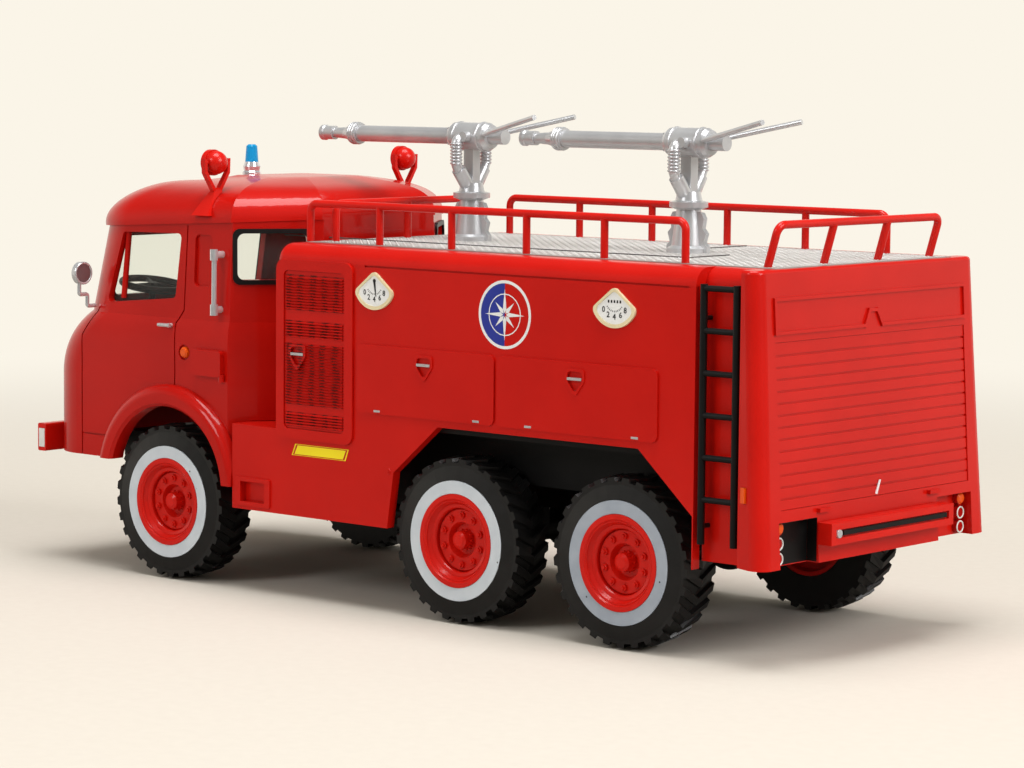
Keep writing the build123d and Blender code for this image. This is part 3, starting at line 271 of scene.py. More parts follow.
@dataclass(frozen=True)
class ShadedLouvres(Enamel):
    """Red enamel with painted shade in its louvres' slots: dark wavy lines, deeper in dark columns.

    Args:
        wash: the colour of the painted shade in the slots, sRGB hex.
        bands_mm: the heights between which the louvres lie.
        pitch_mm: from one line of the painted shade to the next.
        column_mm: from one dark column to the next.
    """

    wash: str = "#3C0604"
    bands_mm: tuple[tuple[float, float], ...] = ()
    pitch_mm: float = 0.45
    column_mm: float = 2.6

    def paint(self, tree: Tree, place: Socket) -> Socket:
        """Lays the wavy lines of painted shade over the enamel, inside the louvred bands."""
        enamel = super().paint(tree, place)
        # Painted shade in the slots: wavy dark lines, deeper in dark columns.
        lines = add(tree, "ShaderNodeTexWave", {
            "Vector": place, "Scale": per_mm(self.pitch_mm) * WAVE_SCALE,
            "Distortion": 2.4, "Detail": 1.0, "Detail Scale": 4.0}, bands_direction="Z")
        columns = add(tree, "ShaderNodeTexWave", {
            "Vector": place, "Scale": per_mm(self.column_mm) * WAVE_SCALE,
            "Distortion": 3.5, "Detail": 2.0, "Detail Scale": 1.2}, bands_direction="X")
        depth = ramp(tree, columns.outputs["Fac"], 0.25, 0.8, 0.35, 0.9)
        amount = combine(tree, "MULTIPLY", depth, ramp(tree, lines.outputs["Fac"], 0.3, 0.7))
        height = add(tree, "ShaderNodeSeparateXYZ", {0: place}).outputs["Z"]
        inside: Socket | float = 0.0
        for low, high in self.bands_mm:
            above = combine(tree, "GREATER_THAN", height, low * MM)
            below = combine(tree, "LESS_THAN", height, high * MM)
            inside = combine(tree, "MAXIMUM", inside, combine(tree, "MULTIPLY", above, below))
        return blend(tree, combine(tree, "MULTIPLY", amount, inside), enamel, linear(self.wash))


@dataclass(frozen=True)
class Moulding(Finish):
    """A small injection moulding, with the faint texture of its steel tool."""

    roughness: float = 0.42
    grain_mm: float = 0.5
    specular: float = 0.3


@dataclass(frozen=True)
class PrintedBand(Moulding):
    """A band of ink printed on soft plastic, with a few dark specks where the ink missed.

    Args:
        speck: the colour of the specks, sRGB hex.
        spacing_mm: from one place where a speck may be to the next.
        share: the share of these places that have one.
        speck_mm: the radius of a speck.
    """

    roughness: float = 0.45
    patch_mm: float = 3.0
    speck: str = "#33363C"
    spacing_mm: float = 1.5
    share: float = 0.3
    speck_mm: float = 0.15

    def paint(self, tree: Tree, place: Socket) -> Socket:
        """Lays the specks over the ink, in a share of the cells of a coarse pattern."""
        ink = super().paint(tree, place)
        cells = add(tree, "ShaderNodeTexVoronoi", {"Vector": place, "Scale": per_mm(self.spacing_mm)})
        near = combine(tree, "LESS_THAN", cells.outputs["Distance"], self.speck_mm / self.spacing_mm)
        chance = add(tree, "ShaderNodeSeparateColor", {0: cells.outputs["Color"]}).outputs[0]
        specks = combine(tree, "MULTIPLY", near, combine(tree, "LESS_THAN", chance, self.share))
        return blend(tree, specks, ink, linear(self.speck))


@dataclass(frozen=True)
class SilverLacquer(Finish):
    """Silver lacquer on a moulding: aluminium flakes in a clear binder, dull rather than mirror bright."""

    metallic: float = 0.55
    flake_mm: float = 0.22

    def relief(self, tree: Tree, place: Socket) -> Socket:
        """Turns each flake a little, drawn coarser than the real flake so that it shows."""
        flakes = add(tree, "ShaderNodeTexVoronoi", {"Vector": place, "Scale": per_mm(self.flake_mm)})
        return bump(tree, flakes.outputs["Distance"], self.relief_mm, 0.35)


@dataclass(frozen=True)
class Plating(Finish):
    """Vacuum plated chrome on a moulding, bright with a slight haze."""

    roughness: float = 0.16
    metallic: float = 0.62
    grain_mm: float = 0.8
    relief_mm: float = 0.002


@dataclass(frozen=True)
class Clear(Finish):
    """A thin clear moulding: it tints what is behind it and takes a sharp gloss.

    Args:
        opacity: the share of the light that it stops.
        edge: how far the gloss grows towards a slanting view.
    """

    roughness: float = 0.04
    opacity: float = 0.25
    edge: float = 0.12

    def surface(self, tree: Tree, body: Socket) -> Socket:
        """Lets most of the light straight through, with a gloss on the outer face alone."""
        clear = add(tree, "ShaderNodeBsdfTransparent", {"Color": linear(self.colour)}).outputs["BSDF"]
        glare = add(tree, "ShaderNodeBsdfAnisotropic", {"Roughness": self.roughness}).outputs["BSDF"]
        slant = add(tree, "ShaderNodeLayerWeight", {"Blend": self.edge}).outputs["Fresnel"]
        inner = add(tree, "ShaderNodeNewGeometry").outputs["Backfacing"]
        share = combine(tree, "MULTIPLY", slant, combine(tree, "SUBTRACT", 1.0, inner))
        return join(tree, share, join(tree, self.opacity, clear, body), glare)


# Die-cast zinc, sprayed: gloss fire red, a shade deeper in faint patches.
BODY_RED = Enamel("sprayed_enamel_fire_red", "#C31106", "#BA0D03")
# The same enamel on the cab, polished harder: deeper, with sharper glints.
CAB_RED = Enamel("polished_enamel_cab_red", "#B60E05", "#AD0B03", roughness=0.36, coat=0.48,
                 coat_roughness=0.06)
# The same enamel on the louvred doors, with painted shade in the slots.
LOUVRE_RED = ShadedLouvres("sprayed_enamel_black_wash", "#C31106", "#BA0D03", bands_mm=LOUVRE_BANDS)
# ABS, moulded in colour: the rails, rims and bumper are a touch more orange than the enamel.
PLASTIC_RED = Moulding("moulded_abs_red", "#CB1509", "#C11107", roughness=0.36, coat=0.35,
                       coat_roughness=0.12, specular=0.15)
# ABS, moulded black: chassis, axle housings, ladder, inside of the cab.
PLASTIC_BLACK = Moulding("moulded_abs_black", "#0C0B0B", "#121111")
# Soft PVC, moulded: the tyres, dull with a fine bloom.
TYRE_RUBBER = Moulding("moulded_soft_pvc_black", "#0D0C0C", "#151414", roughness=0.36, grain_mm=0.25,
                       relief_mm=0.008, patch_mm=2.5, specular=0.6)
# White ink printed on PVC: the tyres' side bands, slightly grey where the black shows through.
BAND_WHITE = PrintedBand("pad_printed_white_on_pvc", "#C6CED6", "#BDC6CF", share=0.08)
# The same ink on the rear wheels, a darker grey blue, with more specks.
BAND_GREY = PrintedBand("grey_printed_white_on_pvc", "#9FA8B4", "#949DAA")
# Silver lacquer on ABS: the water cannons.
CANNON_SILVER = SilverLacquer("silver_lacquer_on_abs", "#D2D3D5", "#C4C5C8", roughness=0.3, metallic=0.55,
                              coat=0.4, coat_roughness=0.12)
# Silver lacquer on the zinc deck, duller, and darker as painted shade in the hollows between the tread bars.
DECK_SILVER = SilverLacquer("silver_lacquer_deck", "#A8A4A0", "#98938E", roughness=0.5, metallic=0.3)
# The same lacquer on the raised tread bars, smoother, and lighter as a painted highlight.
TREAD_SILVER = SilverLacquer("silver_lacquer_tread_bars", "#CFCDCA", "#C2BFBC", roughness=0.34, metallic=0.5)
# The shadow in the deck's seams.
SEAM_GREY = Finish("painted_shadow_in_seams", "#5E5A57", "#4E4A48", roughness=0.6)
# Drawn steel rod: the axles.
AXLE_STEEL = Finish("drawn_steel_rod", "#9A9A98", "#858583", roughness=0.3, metallic=1.0)
# ABS with vacuum plating: handles, mirrors, headlamps and the beacon's base.
CHROME = Plating("vacuum_plated_chrome", "#E6E7EA", "#DCDEE2")
# The mirrors' glasses: plating under a tinted lacquer, dull enough to show no sharp picture.
MIRROR_GLASS = Plating("plating_under_smoke_lacquer", "#8D7A7C", "#7F6C6E", roughness=0.35)
# Clear polystyrene: the windows and the lamps' glasses.
WINDOW_CLEAR = Clear("clear_polystyrene", "#FBFCFA", "#F4F7F5", opacity=0.02)
# Clear blue polystyrene: the beacon's lens.
LENS_BLUE = Clear("clear_blue_polystyrene", "#3FC4F2", "#12A5E2", opacity=0.5)
# White ink: the gauges' dials, the emblem's ring and motif, the pull mark.
INK_WHITE = Moulding("pad_printed_white", "#E9EBEC", "#E0E2E3", roughness=0.4)
# Black ink: the gauges' needles and figures.
INK_BLACK = Moulding("pad_printed_black", "#1A1A1C", "#242426", roughness=0.45)
# Blue ink: the emblem's front half.
INK_BLUE = Moulding("pad_printed_blue", "#27338F", "#2C3899", roughness=0.4)
# Cream ink: the rims of the gauges.
INK_CREAM = Moulding("pad_printed_cream", "#E4D6B0", "#DBCBA0", roughness=0.4)
# Red ink: the line on the label.
INK_RED = Moulding("pad_printed_red", "#B8160E", "#AD120B", roughness=0.4)
# Yellow ink: the small label under the louvred door.
INK_YELLOW = Moulding("pad_printed_yellow", "#F2DE1E", "#EAD414", roughness=0.4)
# Silver foil, hot stamped: the latches and hinges of the lockers.
FOIL_SILVER = SilverLacquer("hot_stamped_silver_foil", "#D9D9DA", "#CBCBCD", roughness=0.3)
# White ink or lacquer on the bumper ends and the lamp rings.
LACQUER_WHITE = Moulding("gloss_lacquer_white", "#DEDEDC", "#D2D2CF", roughness=0.3, coat=0.3)
# Deep red lacquer on the tail lamps.
LACQUER_RED = Moulding("gloss_lacquer_lamp_red", "#A80F0A", "#9B0C08", roughness=0.25, coat=0.4)
# Orange lacquer on the side and rear indicators.
LACQUER_AMBER = Moulding("gloss_lacquer_amber", "#E8590C", "#D94A06", roughness=0.28, coat=0.4)

FINISHED_NODES: dict[Finish, tuple[str, ...]] = {
    PLASTIC_BLACK: ("chassis", "drive_shafts", "cab_interior", "steering_wheel", "ladder", "window_seals",
                    "front_grille", "silencer"),
    BODY_RED: ("body_shell", "side_lockers", "rear_shutter"),
    CAB_RED: ("cab_shell", "front_fenders"),
    LOUVRE_RED: ("grille_doors",),
    PLASTIC_RED: ("front_bumper", "rear_step_bar", "searchlight_left", "searchlight_right", "left_rail",
                  "right_rail", "front_rail", "rear_rail"),
    DECK_SILVER: ("deck_plate",),
    WINDOW_CLEAR: ("cab_glazing", "headlamp_lenses"),
    LENS_BLUE: ("beacon_lens",),
    CHROME: ("beacon_base", "grab_handles", "door_handles", "mirror_left", "mirror_right", "headlamps"),
    FOIL_SILVER: ("latch_bars",),
    INK_CREAM: ("gauge_bezels",),
    INK_WHITE: ("gauge_dials",),
    LACQUER_WHITE: ("bumper_end_caps",),
    LACQUER_RED: ("rear_lamps",),
    LACQUER_AMBER: ("marker_lamps",),
    CANNON_SILVER: ("monitor_front_barrel", "monitor_front_stand", "monitor_rear_barrel",
                    "monitor_rear_stand"),
}
AXLE_FINISHES: dict[str, Finish] = {
    "tyres": TYRE_RUBBER,
    "rims": PLASTIC_RED,
    "side_rings": BAND_WHITE,
    "axle": AXLE_STEEL,
    "axle_housing": PLASTIC_BLACK,
}


def dress_nodes() -> None:
    """Gives every solid of the model its finish."""
    finishes = {name: finish for finish, names in FINISHED_NODES.items() for name in names}
    for axle in AXLES:
        finishes.update({f"{axle}_{part}": finish for part, finish in AXLE_FINISHES.items()})
    finishes["rear_side_rings"] = BAND_GREY
    for name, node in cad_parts.items():
        node.data.materials.clear()
        node.data.materials.append(finishes[name].material())
        log.info("%s: %s", name, finishes[name].name)


# --- shaping ------------------------------------------------------------------------
def at(station: float, y: float, z: float) -> Vector:
    """A place in the frame, in metres, from a station ahead of the middle axle, y and z in millimetres."""
    return Vector((station - ORIGIN_STATION, y, z)) * MM


def outward(side: int) -> Vector:
    """One millimetre outward on that side."""
    return Vector((0, side * MM, 0))


def facing(axis: Vector) -> Matrix:
    """The turn that brings Z along the axis."""
    return axis.to_track_quat("Z", "Y").to_matrix().to_4x4()


@dataclass
class Shaper:
    """A mesh in the making: each method adds one simple form with one of the piece's finishes."""

    mesh: bmesh.types.BMesh = field(default_factory=bmesh.new)

    def cube(
        self, centre: Vector, size: Sequence[float], material: int = 0, turn: Matrix | None = None,
    ) -> None:
        """Adds a block.

        Args:
            centre: its centre.
            size: its sides in millimetres.
            material: the number of its finish.
            turn: its turn about its centre.
        """
        scale = Matrix.Diagonal((size[0] * MM, size[1] * MM, size[2] * MM, 1.0))
        place = Matrix.Translation(centre) @ (turn or Matrix.Identity(4)) @ scale
        made = bmesh.ops.create_cube(self.mesh, size=1.0, matrix=place)
        self.finish(made["verts"], material)

    def rod(
        self, start: Vector, end: Vector, radii: tuple[float, float], material: int = 0, segments: int = 24,
    ) -> None:
        """Adds a round or many-sided rod or cone.

        Args:
            start: the centre of its first end.
            end: the centre of its other end.
            radii: both ends' radii in millimetres.
            material: the number of its finish.
            segments: how many sides it has.
        """
        along = end - start
        place = Matrix.Translation((start + end) / 2) @ facing(along)
        made = bmesh.ops.create_cone(self.mesh, cap_ends=True, segments=segments, radius1=radii[0] * MM,
                                     radius2=radii[1] * MM, depth=along.length, matrix=place)
        self.finish(made["verts"], material)

    def lathe(
        self, centre: Vector, axis: Vector, section: Sequence[tuple[float, float]], material: int = 0,
        segments: int = 32,
    ) -> None:
        """Adds a ring by spinning its section about the axis.

        Args:
            centre: the ring's centre.
            axis: the direction of its axis.
            section: the section's corners as (radius, distance along the axis) in millimetres.
            material: the number of its finish.
            segments: how many steps the spin has.
        """
        turn = Matrix.Translation(centre) @ facing(axis)
        made = bmesh.ops.create_circle(self.mesh, segments=len(section), radius=MM)
        for vert, (radius, along) in zip(made["verts"], section):
            vert.co = turn @ Vector((radius * MM, 0, along * MM))
        edges = list({edge for vert in made["verts"] for edge in vert.link_edges})
        before = set(self.mesh.faces)
        bmesh.ops.spin(self.mesh, geom=made["verts"] + edges, cent=centre, axis=axis.normalized(),
                       angle=math.tau, steps=segments, use_merge=True)
        for face in set(self.mesh.faces) - before:
            face.material_index = material

    def ring(
        self, centre: Vector, axis: Vector, radius: float, thickness: float, material: int = 0,
        segments: int = 32,
    ) -> None:
        """Adds a ring of round section.

        Args:
            centre: the ring's centre.
            axis: the direction of its axis.
            radius: the radius of its middle line in millimetres.
            thickness: the radius of its section in millimetres.
            material: the number of its finish.
            segments: how many steps round the axis it has.
        """
        turns = [math.tau * k / RING_SIDES for k in range(RING_SIDES)]
        section = [(radius + thickness * math.cos(turn), thickness * math.sin(turn)) for turn in turns]
        self.lathe(centre, axis, section, material, segments)

    def sheet(self, corners: Sequence[Vector], lift: Vector, material: int = 0) -> None:
        """Adds a thin plate with the outline of the corners.

        Args:
            corners: the outline's corners, in order.
            lift: the plate's thickness as a vector.
            material: the number of its finish.
        """
        made = bmesh.ops.create_circle(self.mesh, cap_ends=True, segments=len(corners), radius=MM)
        for vert, corner in zip(made["verts"], corners):
            vert.co = corner
        face = made["verts"][0].link_faces[0]
        face.material_index = material
        grown = bmesh.ops.extrude_face_region(self.mesh, geom=[face], use_keep_orig=True)
        verts = self.verts_of(grown["geom"])
        bmesh.ops.translate(self.mesh, verts=verts, vec=lift)
        self.finish(verts, material)

    def word(self, text: str, place: Matrix, height: float, material: int = 0) -> None:
        """Adds plain figures as a flat mesh, standing in the place's own X and Y.

        Args:
            text: the figures.
            place: where the middle of the figures comes.
            height: the size of the figures in millimetres.
            material: the number of their finish.
        """
        curve = bpy.data.curves.new("figures", "FONT")
        curve.body = text
        curve.size = height * MM
        curve.align_x = "CENTER"
        curve.align_y = "CENTER"
        curve.resolution_u = 2
        curve.offset = 0.02 * height * MM
        holder = bpy.data.objects.new("figures", curve)
        flat = bpy.data.meshes.new_from_object(holder)
        flat.transform(place)
        before = set(self.mesh.faces)
        self.mesh.from_mesh(flat)
        for face in set(self.mesh.faces) - before:
            face.material_index = material
        bpy.data.objects.remove(holder)
        bpy.data.curves.remove(curve)
        bpy.data.meshes.remove(flat)

    def repeat(self, step: Vector, count: int) -> None:
        """Repeats all that there is so far.

        Args:
            step: the way from one copy to the next.
            count: how many copies there are in all.
        """
        first = self.mesh.verts[:] + self.mesh.edges[:] + self.mesh.faces[:]
        for index in range(1, count):
            made = bmesh.ops.duplicate(self.mesh, geom=first)
            bmesh.ops.translate(self.mesh, verts=self.verts_of(made["geom"]), vec=step * index)

    def finish(self, verts: Sequence[bmesh.types.BMVert], material: int) -> None:
        """Gives the faces of the new vertices their finish."""
        for face in {face for vert in verts for face in vert.link_faces}:
            face.material_index = material

    @staticmethod
    def verts_of(items: Sequence[object]) -> list[bmesh.types.BMVert]:
        """Picks the vertices from the items that an operator made."""
        return [item for item in items if isinstance(item, bmesh.types.BMVert)]


@dataclass
class Piece:
    """A small piece added to the solids, riding on one body.

    Args:
        name: the piece's name.
        finishes: its finishes, by number.
        body: the body it rides on.
        bevel_mm: the width of the bevel on its edges, 0 for none.
        smooth: whether its round forms are shaded smooth.
    """

    name: str
    finishes: tuple[Finish, ...]
    body: Body = Body.ROOT
    bevel_mm: float = 0.0
    smooth: bool = False

    def shape(self, shaper: Shaper) -> None:
        """Adds the piece's forms to the shaper."""
        raise NotImplementedError

    def build(self) -> bpy.types.Object:
        """Builds the piece, dresses it and sets it on its body."""
        shaper = Shaper()
        self.shape(shaper)
        mesh = shaper.mesh
        if self.bevel_mm:
            sharp = [edge for edge in mesh.edges
                     if len(edge.link_faces) == 2 and edge.calc_face_angle(0) > BEVEL_ANGLE]
            bmesh.ops.bevel(mesh, geom=sharp, offset=self.bevel_mm * MM, segments=2, profile=0.5,
                            affect="EDGES", material=-1)
        bmesh.ops.recalc_face_normals(mesh, faces=mesh.faces)
        data = bpy.data.meshes.new(self.name)
        mesh.to_mesh(data)
        mesh.free()
        for finish in self.finishes:
            data.materials.append(finish.material())
        if self.smooth:
            data.shade_smooth()
            data.set_sharp_from_angle(angle=math.radians(SHARP_ANGLE))
        piece = bpy.data.objects.new(self.name, data)
        bpy.context.scene.collection.objects.link(piece)
        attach(piece, self.body.value)
        log.info("%s: %d faces", self.name, len(data.polygons))
        return piece


# --- pieces: wheels -----------------------------------------------------------------
@dataclass
class WheelNuts(Piece):
    """The domed nuts on each of an axle's two wheel discs, and the studs round the hub."""

    axle: str = "front"
    count: int = 10
    disc_depth_mm: float = 1.6
    nut_circle_mm: float = 3.85
    stud_circle_mm: float = 1.55
    stud_depth_mm: float = 0.6

    def shape(self, shaper: Shaper) -> None:
        """Sets the nuts and the studs on both sides."""
        low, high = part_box(f"{self.axle}_axle")
        middle = (low + high) / 2
        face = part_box(f"{self.axle}_tyres")[1].y / MM - self.disc_depth_mm
        for side in (LEFT, RIGHT):
            out = outward(side)
            hub = Vector((middle.x, 0, middle.z)) + out * face
            for index in range(self.count):
                foot = hub + self.spoke(index, self.nut_circle_mm)
                shaper.rod(foot - out * 0.3, foot + out * 0.35, (0.62, 0.55), segments=16)
                shaper.rod(foot + out * 0.35, foot + out * 0.6, (0.36, 0.26), segments=12)
            for index in range(self.count):
                foot = hub - out * self.stud_depth_mm + self.spoke(index + 0.5, self.stud_circle_mm)
                shaper.rod(foot, foot + out * 0.35, (0.2, 0.16), segments=10)

    def spoke(self, index: float, radius: float) -> Vector:
        """The way from the hub to the place of that number on a circle."""
        angle = math.tau * index / self.count
        return Vector((math.sin(angle), 0, math.cos(angle))) * radius * MM


@dataclass
class RimRings(Piece):
    """The stepped flange inside each wheel's rim: a flat ring round the disc and a bead near the edge.

    Args:
        flange: its section, as (radius, distance outward from the tyre's side) in millimetres.
        bead_mm: the bead's radius, its distance outward from the tyre's side and its thickness.
    """

    axle: str = "front"
    flange: tuple[tuple[float, float], ...] = (
        (4.95, -2.2), (4.95, -1.15), (5.1, -0.95), (5.6, -0.8), (5.75, -1.0), (5.6, -2.2))
    bead_mm: tuple[float, float, float] = (6.18, -0.2, 0.15)

    def shape(self, shaper: Shaper) -> None:
        """Sets the flange and the bead in both wheels."""
        low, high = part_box(f"{self.axle}_axle")
        centre = (low + high) / 2
        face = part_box(f"{self.axle}_tyres")[1].y
        radius, depth, thickness = self.bead_mm
        for side in (LEFT, RIGHT):
            out = Vector((0, side, 0))
            spot = Vector((centre.x, side * face, centre.z))
            shaper.lathe(spot, out, self.flange, segments=64)
            shaper.ring(spot + out * depth * MM, out, radius, thickness, segments=64)


# --- pieces: deck and water cannons -------------------------------------------------
@dataclass
class DeckTread(Piece):
    """The raised bars of the tread deck, which lean to both sides in a chequer.

    Args:
        pitch_mm: from one bar to the next.
        bar_mm: a bar's length, width and height.
        edge_mm: the plain edge round the bars.
        taper: a bar's top as a share of its foot.
        raised: how much of its height a bar's middle lies over the deck.
    """

    pitch_mm: float = 0.8
    bar_mm: tuple[float, float, float] = (0.64, 0.23, 0.09)
    edge_mm: float = 0.5
    taper: float = 0.6
    raised: float = 0.3

    def shape(self, shaper: Shaper) -> None:
        """Shapes two bars each way, then repeats them across the deck and along it."""
        low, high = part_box("deck_plate")
        step = self.pitch_mm * MM
        start = (self.edge_mm + self.pitch_mm / 2) * MM
        rise = self.bar_mm[2] * self.raised * MM
        corner = Vector((low.x + start, low.y + start, high.z + rise))
        for column in (0, 1):
            for row in (0, 1):
                lean = 45 if column == row else -45
                self.bar(shaper, corner + Vector((column * step, row * step, 0)), lean)
        span = high - low - Vector((2, 2, 0)) * self.edge_mm * MM
        for axis, reach in ((Vector((0, 1, 0)), span.y), (FORWARD, span.x)):
            shaper.repeat(axis * 2 * step, int(reach / (2 * step)))

    def bar(self, shaper: Shaper, place: Vector, lean: float) -> None:
        """Shapes one bar, as a cone of four sides whose foot is one unit square before it is stretched."""
        half_diagonal = math.sqrt(0.5)
        square = Matrix.Rotation(math.radians(45), 4, "Z")
        turn = Matrix.Rotation(math.radians(lean), 4, "Z")
        stretch = Matrix.Diagonal([size * MM for size in self.bar_mm] + [1.0])
        bmesh.ops.create_cone(shaper.mesh, cap_ends=True, segments=4, radius1=half_diagonal,
                              radius2=half_diagonal * self.taper, depth=1.0,
                              matrix=Matrix.Translation(place) @ turn @ stretch @ square)


@dataclass
class DeckSeams(Piece):
    """The seams of the hatch in the deck, as strips of painted shadow between the tread bars."""

    runs: tuple[tuple[float, float, float, float], ...] = (
        # from station, to station, from y, to y
        (52.0, -32.5, 12.0, 12.0),
        (-32.5, -32.5, 12.0, 2.0),
        (-19.0, -19.0, -6.5, -20.5),
    )
    width_mm: float = 0.25
    height_mm: float = 0.2
    rise_mm: float = 0.09

    def shape(self, shaper: Shaper) -> None:
        """Lays each strip on the deck."""
        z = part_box("deck_plate")[1].z / MM + self.rise_mm
        for start, end, left, right in self.runs:
            size = (abs(start - end) + self.width_mm, abs(left - right) + self.width_mm, self.height_mm)
            shaper.cube(at((start + end) / 2, (left + right) / 2, z), size)


@dataclass
class HoseRibs(Piece):
    """The raised rings along the two hoses of a water cannon.

    Args:
        first_mm: the lowest ring's place from the stand's foot: ahead, to the side and up.
        pitch_mm: from one ring to the next.
        rib_mm: a ring's radius and thickness.
    """

    monitor: str = "front"
    ribs: int = 7
    first_mm: Point = (0.2, 3.6, 12.6)
    pitch_mm: float = 0.52
    rib_mm: tuple[float, float] = (0.85, 0.17)

    def shape(self, shaper: Shaper) -> None:
        """Sets the rings up both hoses."""
        low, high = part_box(f"monitor_{self.monitor}_stand")
        foot = Vector(((low.x + high.x) / 2, 0, low.z))
        ahead, aside, rise = self.first_mm
        for side in (LEFT, RIGHT):
            for index in range(self.ribs):
                centre = foot + Vector((ahead, side * aside, rise + index * self.pitch_mm)) * MM
                shaper.ring(centre, UP, *self.rib_mm, segments=20)


@dataclass
class NozzleRings(Piece):
    """The turned rings of a water cannon's nozzle and the bolts of its head.

    Args:
        pivot_mm: from the muzzle back and from the barrel's lowest point up to the head's middle.
        nozzle: the rings on the nozzle, as distances ahead of that middle, with their radius and thickness.
        collars: the rings on the head, likewise.
        bolts: how many bolts the head's front flange has.
        bolt_circle_mm: the radius of the circle that they stand on.
        bolt_ahead_mm: how far ahead of that middle they stand.
    """

    monitor: str = "front"
    pivot_mm: tuple[float, float] = (33.5, 2.27)
    nozzle: tuple[tuple[float, ...], float, float] = ((25.3, 25.9, 26.3), 1.75, 0.14)
    collars: tuple[tuple[float, ...], float, float] = ((-2.6, 2.4), 2.27, 0.16)
    bolts: int = 8
    bolt_circle_mm: float = 1.72
    bolt_ahead_mm: float = 3.9

    def shape(self, shaper: Shaper) -> None:
        """Sets the rings along the barrel and the bolts round the flange."""
        low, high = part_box(f"monitor_{self.monitor}_barrel")
        back, rise = self.pivot_mm
        pivot = Vector((high.x - back * MM, 0, low.z + rise * MM))
        for places, radius, thickness in (self.nozzle, self.collars):
            for ahead in places:
                shaper.ring(pivot + FORWARD * ahead * MM, FORWARD, radius, thickness, segments=28)
        for index in range(self.bolts):
            angle = math.tau * index / self.bolts
            spoke = Vector((0, math.sin(angle), math.cos(angle))) * self.bolt_circle_mm * MM
            spot = pivot + FORWARD * self.bolt_ahead_mm * MM + spoke
            shaper.rod(spot - FORWARD * 0.4 * MM, spot + FORWARD * 0.25 * MM, (0.22, 0.22), segments=6)


# --- pieces: body -------------------------------------------------------------------
@dataclass
class GaugeMarks(Piece):
    """The needles, ticks and plain figures printed on the gauges' dials.

    Args:
        stations: the middles of the dial with a needle and of the dial with a row of dots.
        height: the middles' height.
        face_y: how far the dials' faces stand from the centreline.
        centre_mm: the needle's centre over the middle of the dial.
        figures: the figures along the lower edge.
        figure_mm: their size.
        figure_arc: their arc's angle in degrees, its reach across and its reach down.
        ticks: how many ticks there are.
        tick_arc: the same three of the ticks' arc.
        dots: how many dots there are in the row.
    """

    stations: tuple[float, float] = (16.6, -31.5)
    height: float = 50.5
    face_y: float = 28.04
    centre_mm: float = 0.95
    figures: str = "02468"
    figure_mm: float = 1.2
    figure_arc: Point = (116.0, 2.4, 2.15)
    ticks: int = 11
    tick_arc: Point = (120.0, 1.55, 1.35)
    dots: int = 5

    def shape(self, shaper: Shaper) -> None:
        """Prints each dial on both sides."""
        for side in (LEFT, RIGHT):
            for station in self.stations:
                self.scale(shaper, side, station)
                if station == self.stations[0]:
                    self.needle(shaper, side, station)
                else:
                    self.row(shaper, side, station)

    def fan(self, side: int, station: float, arc: Point, count: int) -> list[tuple[float, Vector]]:
        """Spreads that many places along an arc, and returns the angle and place of each."""
        angle, across, down = arc
        turns = [math.radians(-angle / 2 + angle * index / (count - 1)) for index in range(count)]
        return [(turn, at(station - side * across * math.sin(turn), side * self.face_y,
                          self.height + self.centre_mm - down * math.cos(turn))) for turn in turns]

    def scale(self, shaper: Shaper, side: int, station: float) -> None:
        """Prints the figures along the dial's lower edge and the ticks over them."""
        upright = Matrix(((-side, 0, 0, 0), (0, 0, side, 0), (0, 1, 0, 0), (0, 0, 0, 1)))
        figures = zip(self.figures, self.fan(side, station, self.figure_arc, len(self.figures)))
        for figure, (_, spot) in figures:
            shaper.word(figure, Matrix.Translation(spot + outward(side) * 0.02) @ upright, self.figure_mm)
        for turn, spot in self.fan(side, station, self.tick_arc, self.ticks):
            shaper.cube(spot, (0.11, 0.03, 0.26), 0, Matrix.Rotation(side * turn, 4, "Y"))

    def needle(self, shaper: Shaper, side: int, station: float) -> None:
        """Prints the needle, which hangs from its pin."""
        y = side * self.face_y
        pin = at(station, y, self.height + 1.7)
        tip = at(station - side * 0.35, y, self.height - 0.75)
        shaper.rod(pin, tip, (0.22, 0.07), segments=8)
        shaper.rod(pin - outward(side) * 0.02, pin + outward(side) * 0.04, (0.3, 0.3), segments=16)

    def row(self, shaper: Shaper, side: int, station: float) -> None:
        """Prints the row of dots."""
        for index in range(self.dots):
            x = station + (index - (self.dots - 1) / 2) * 0.55
            shaper.cube(at(x, side * self.face_y, self.height + 1.05), (0.3, 0.03, 0.42))


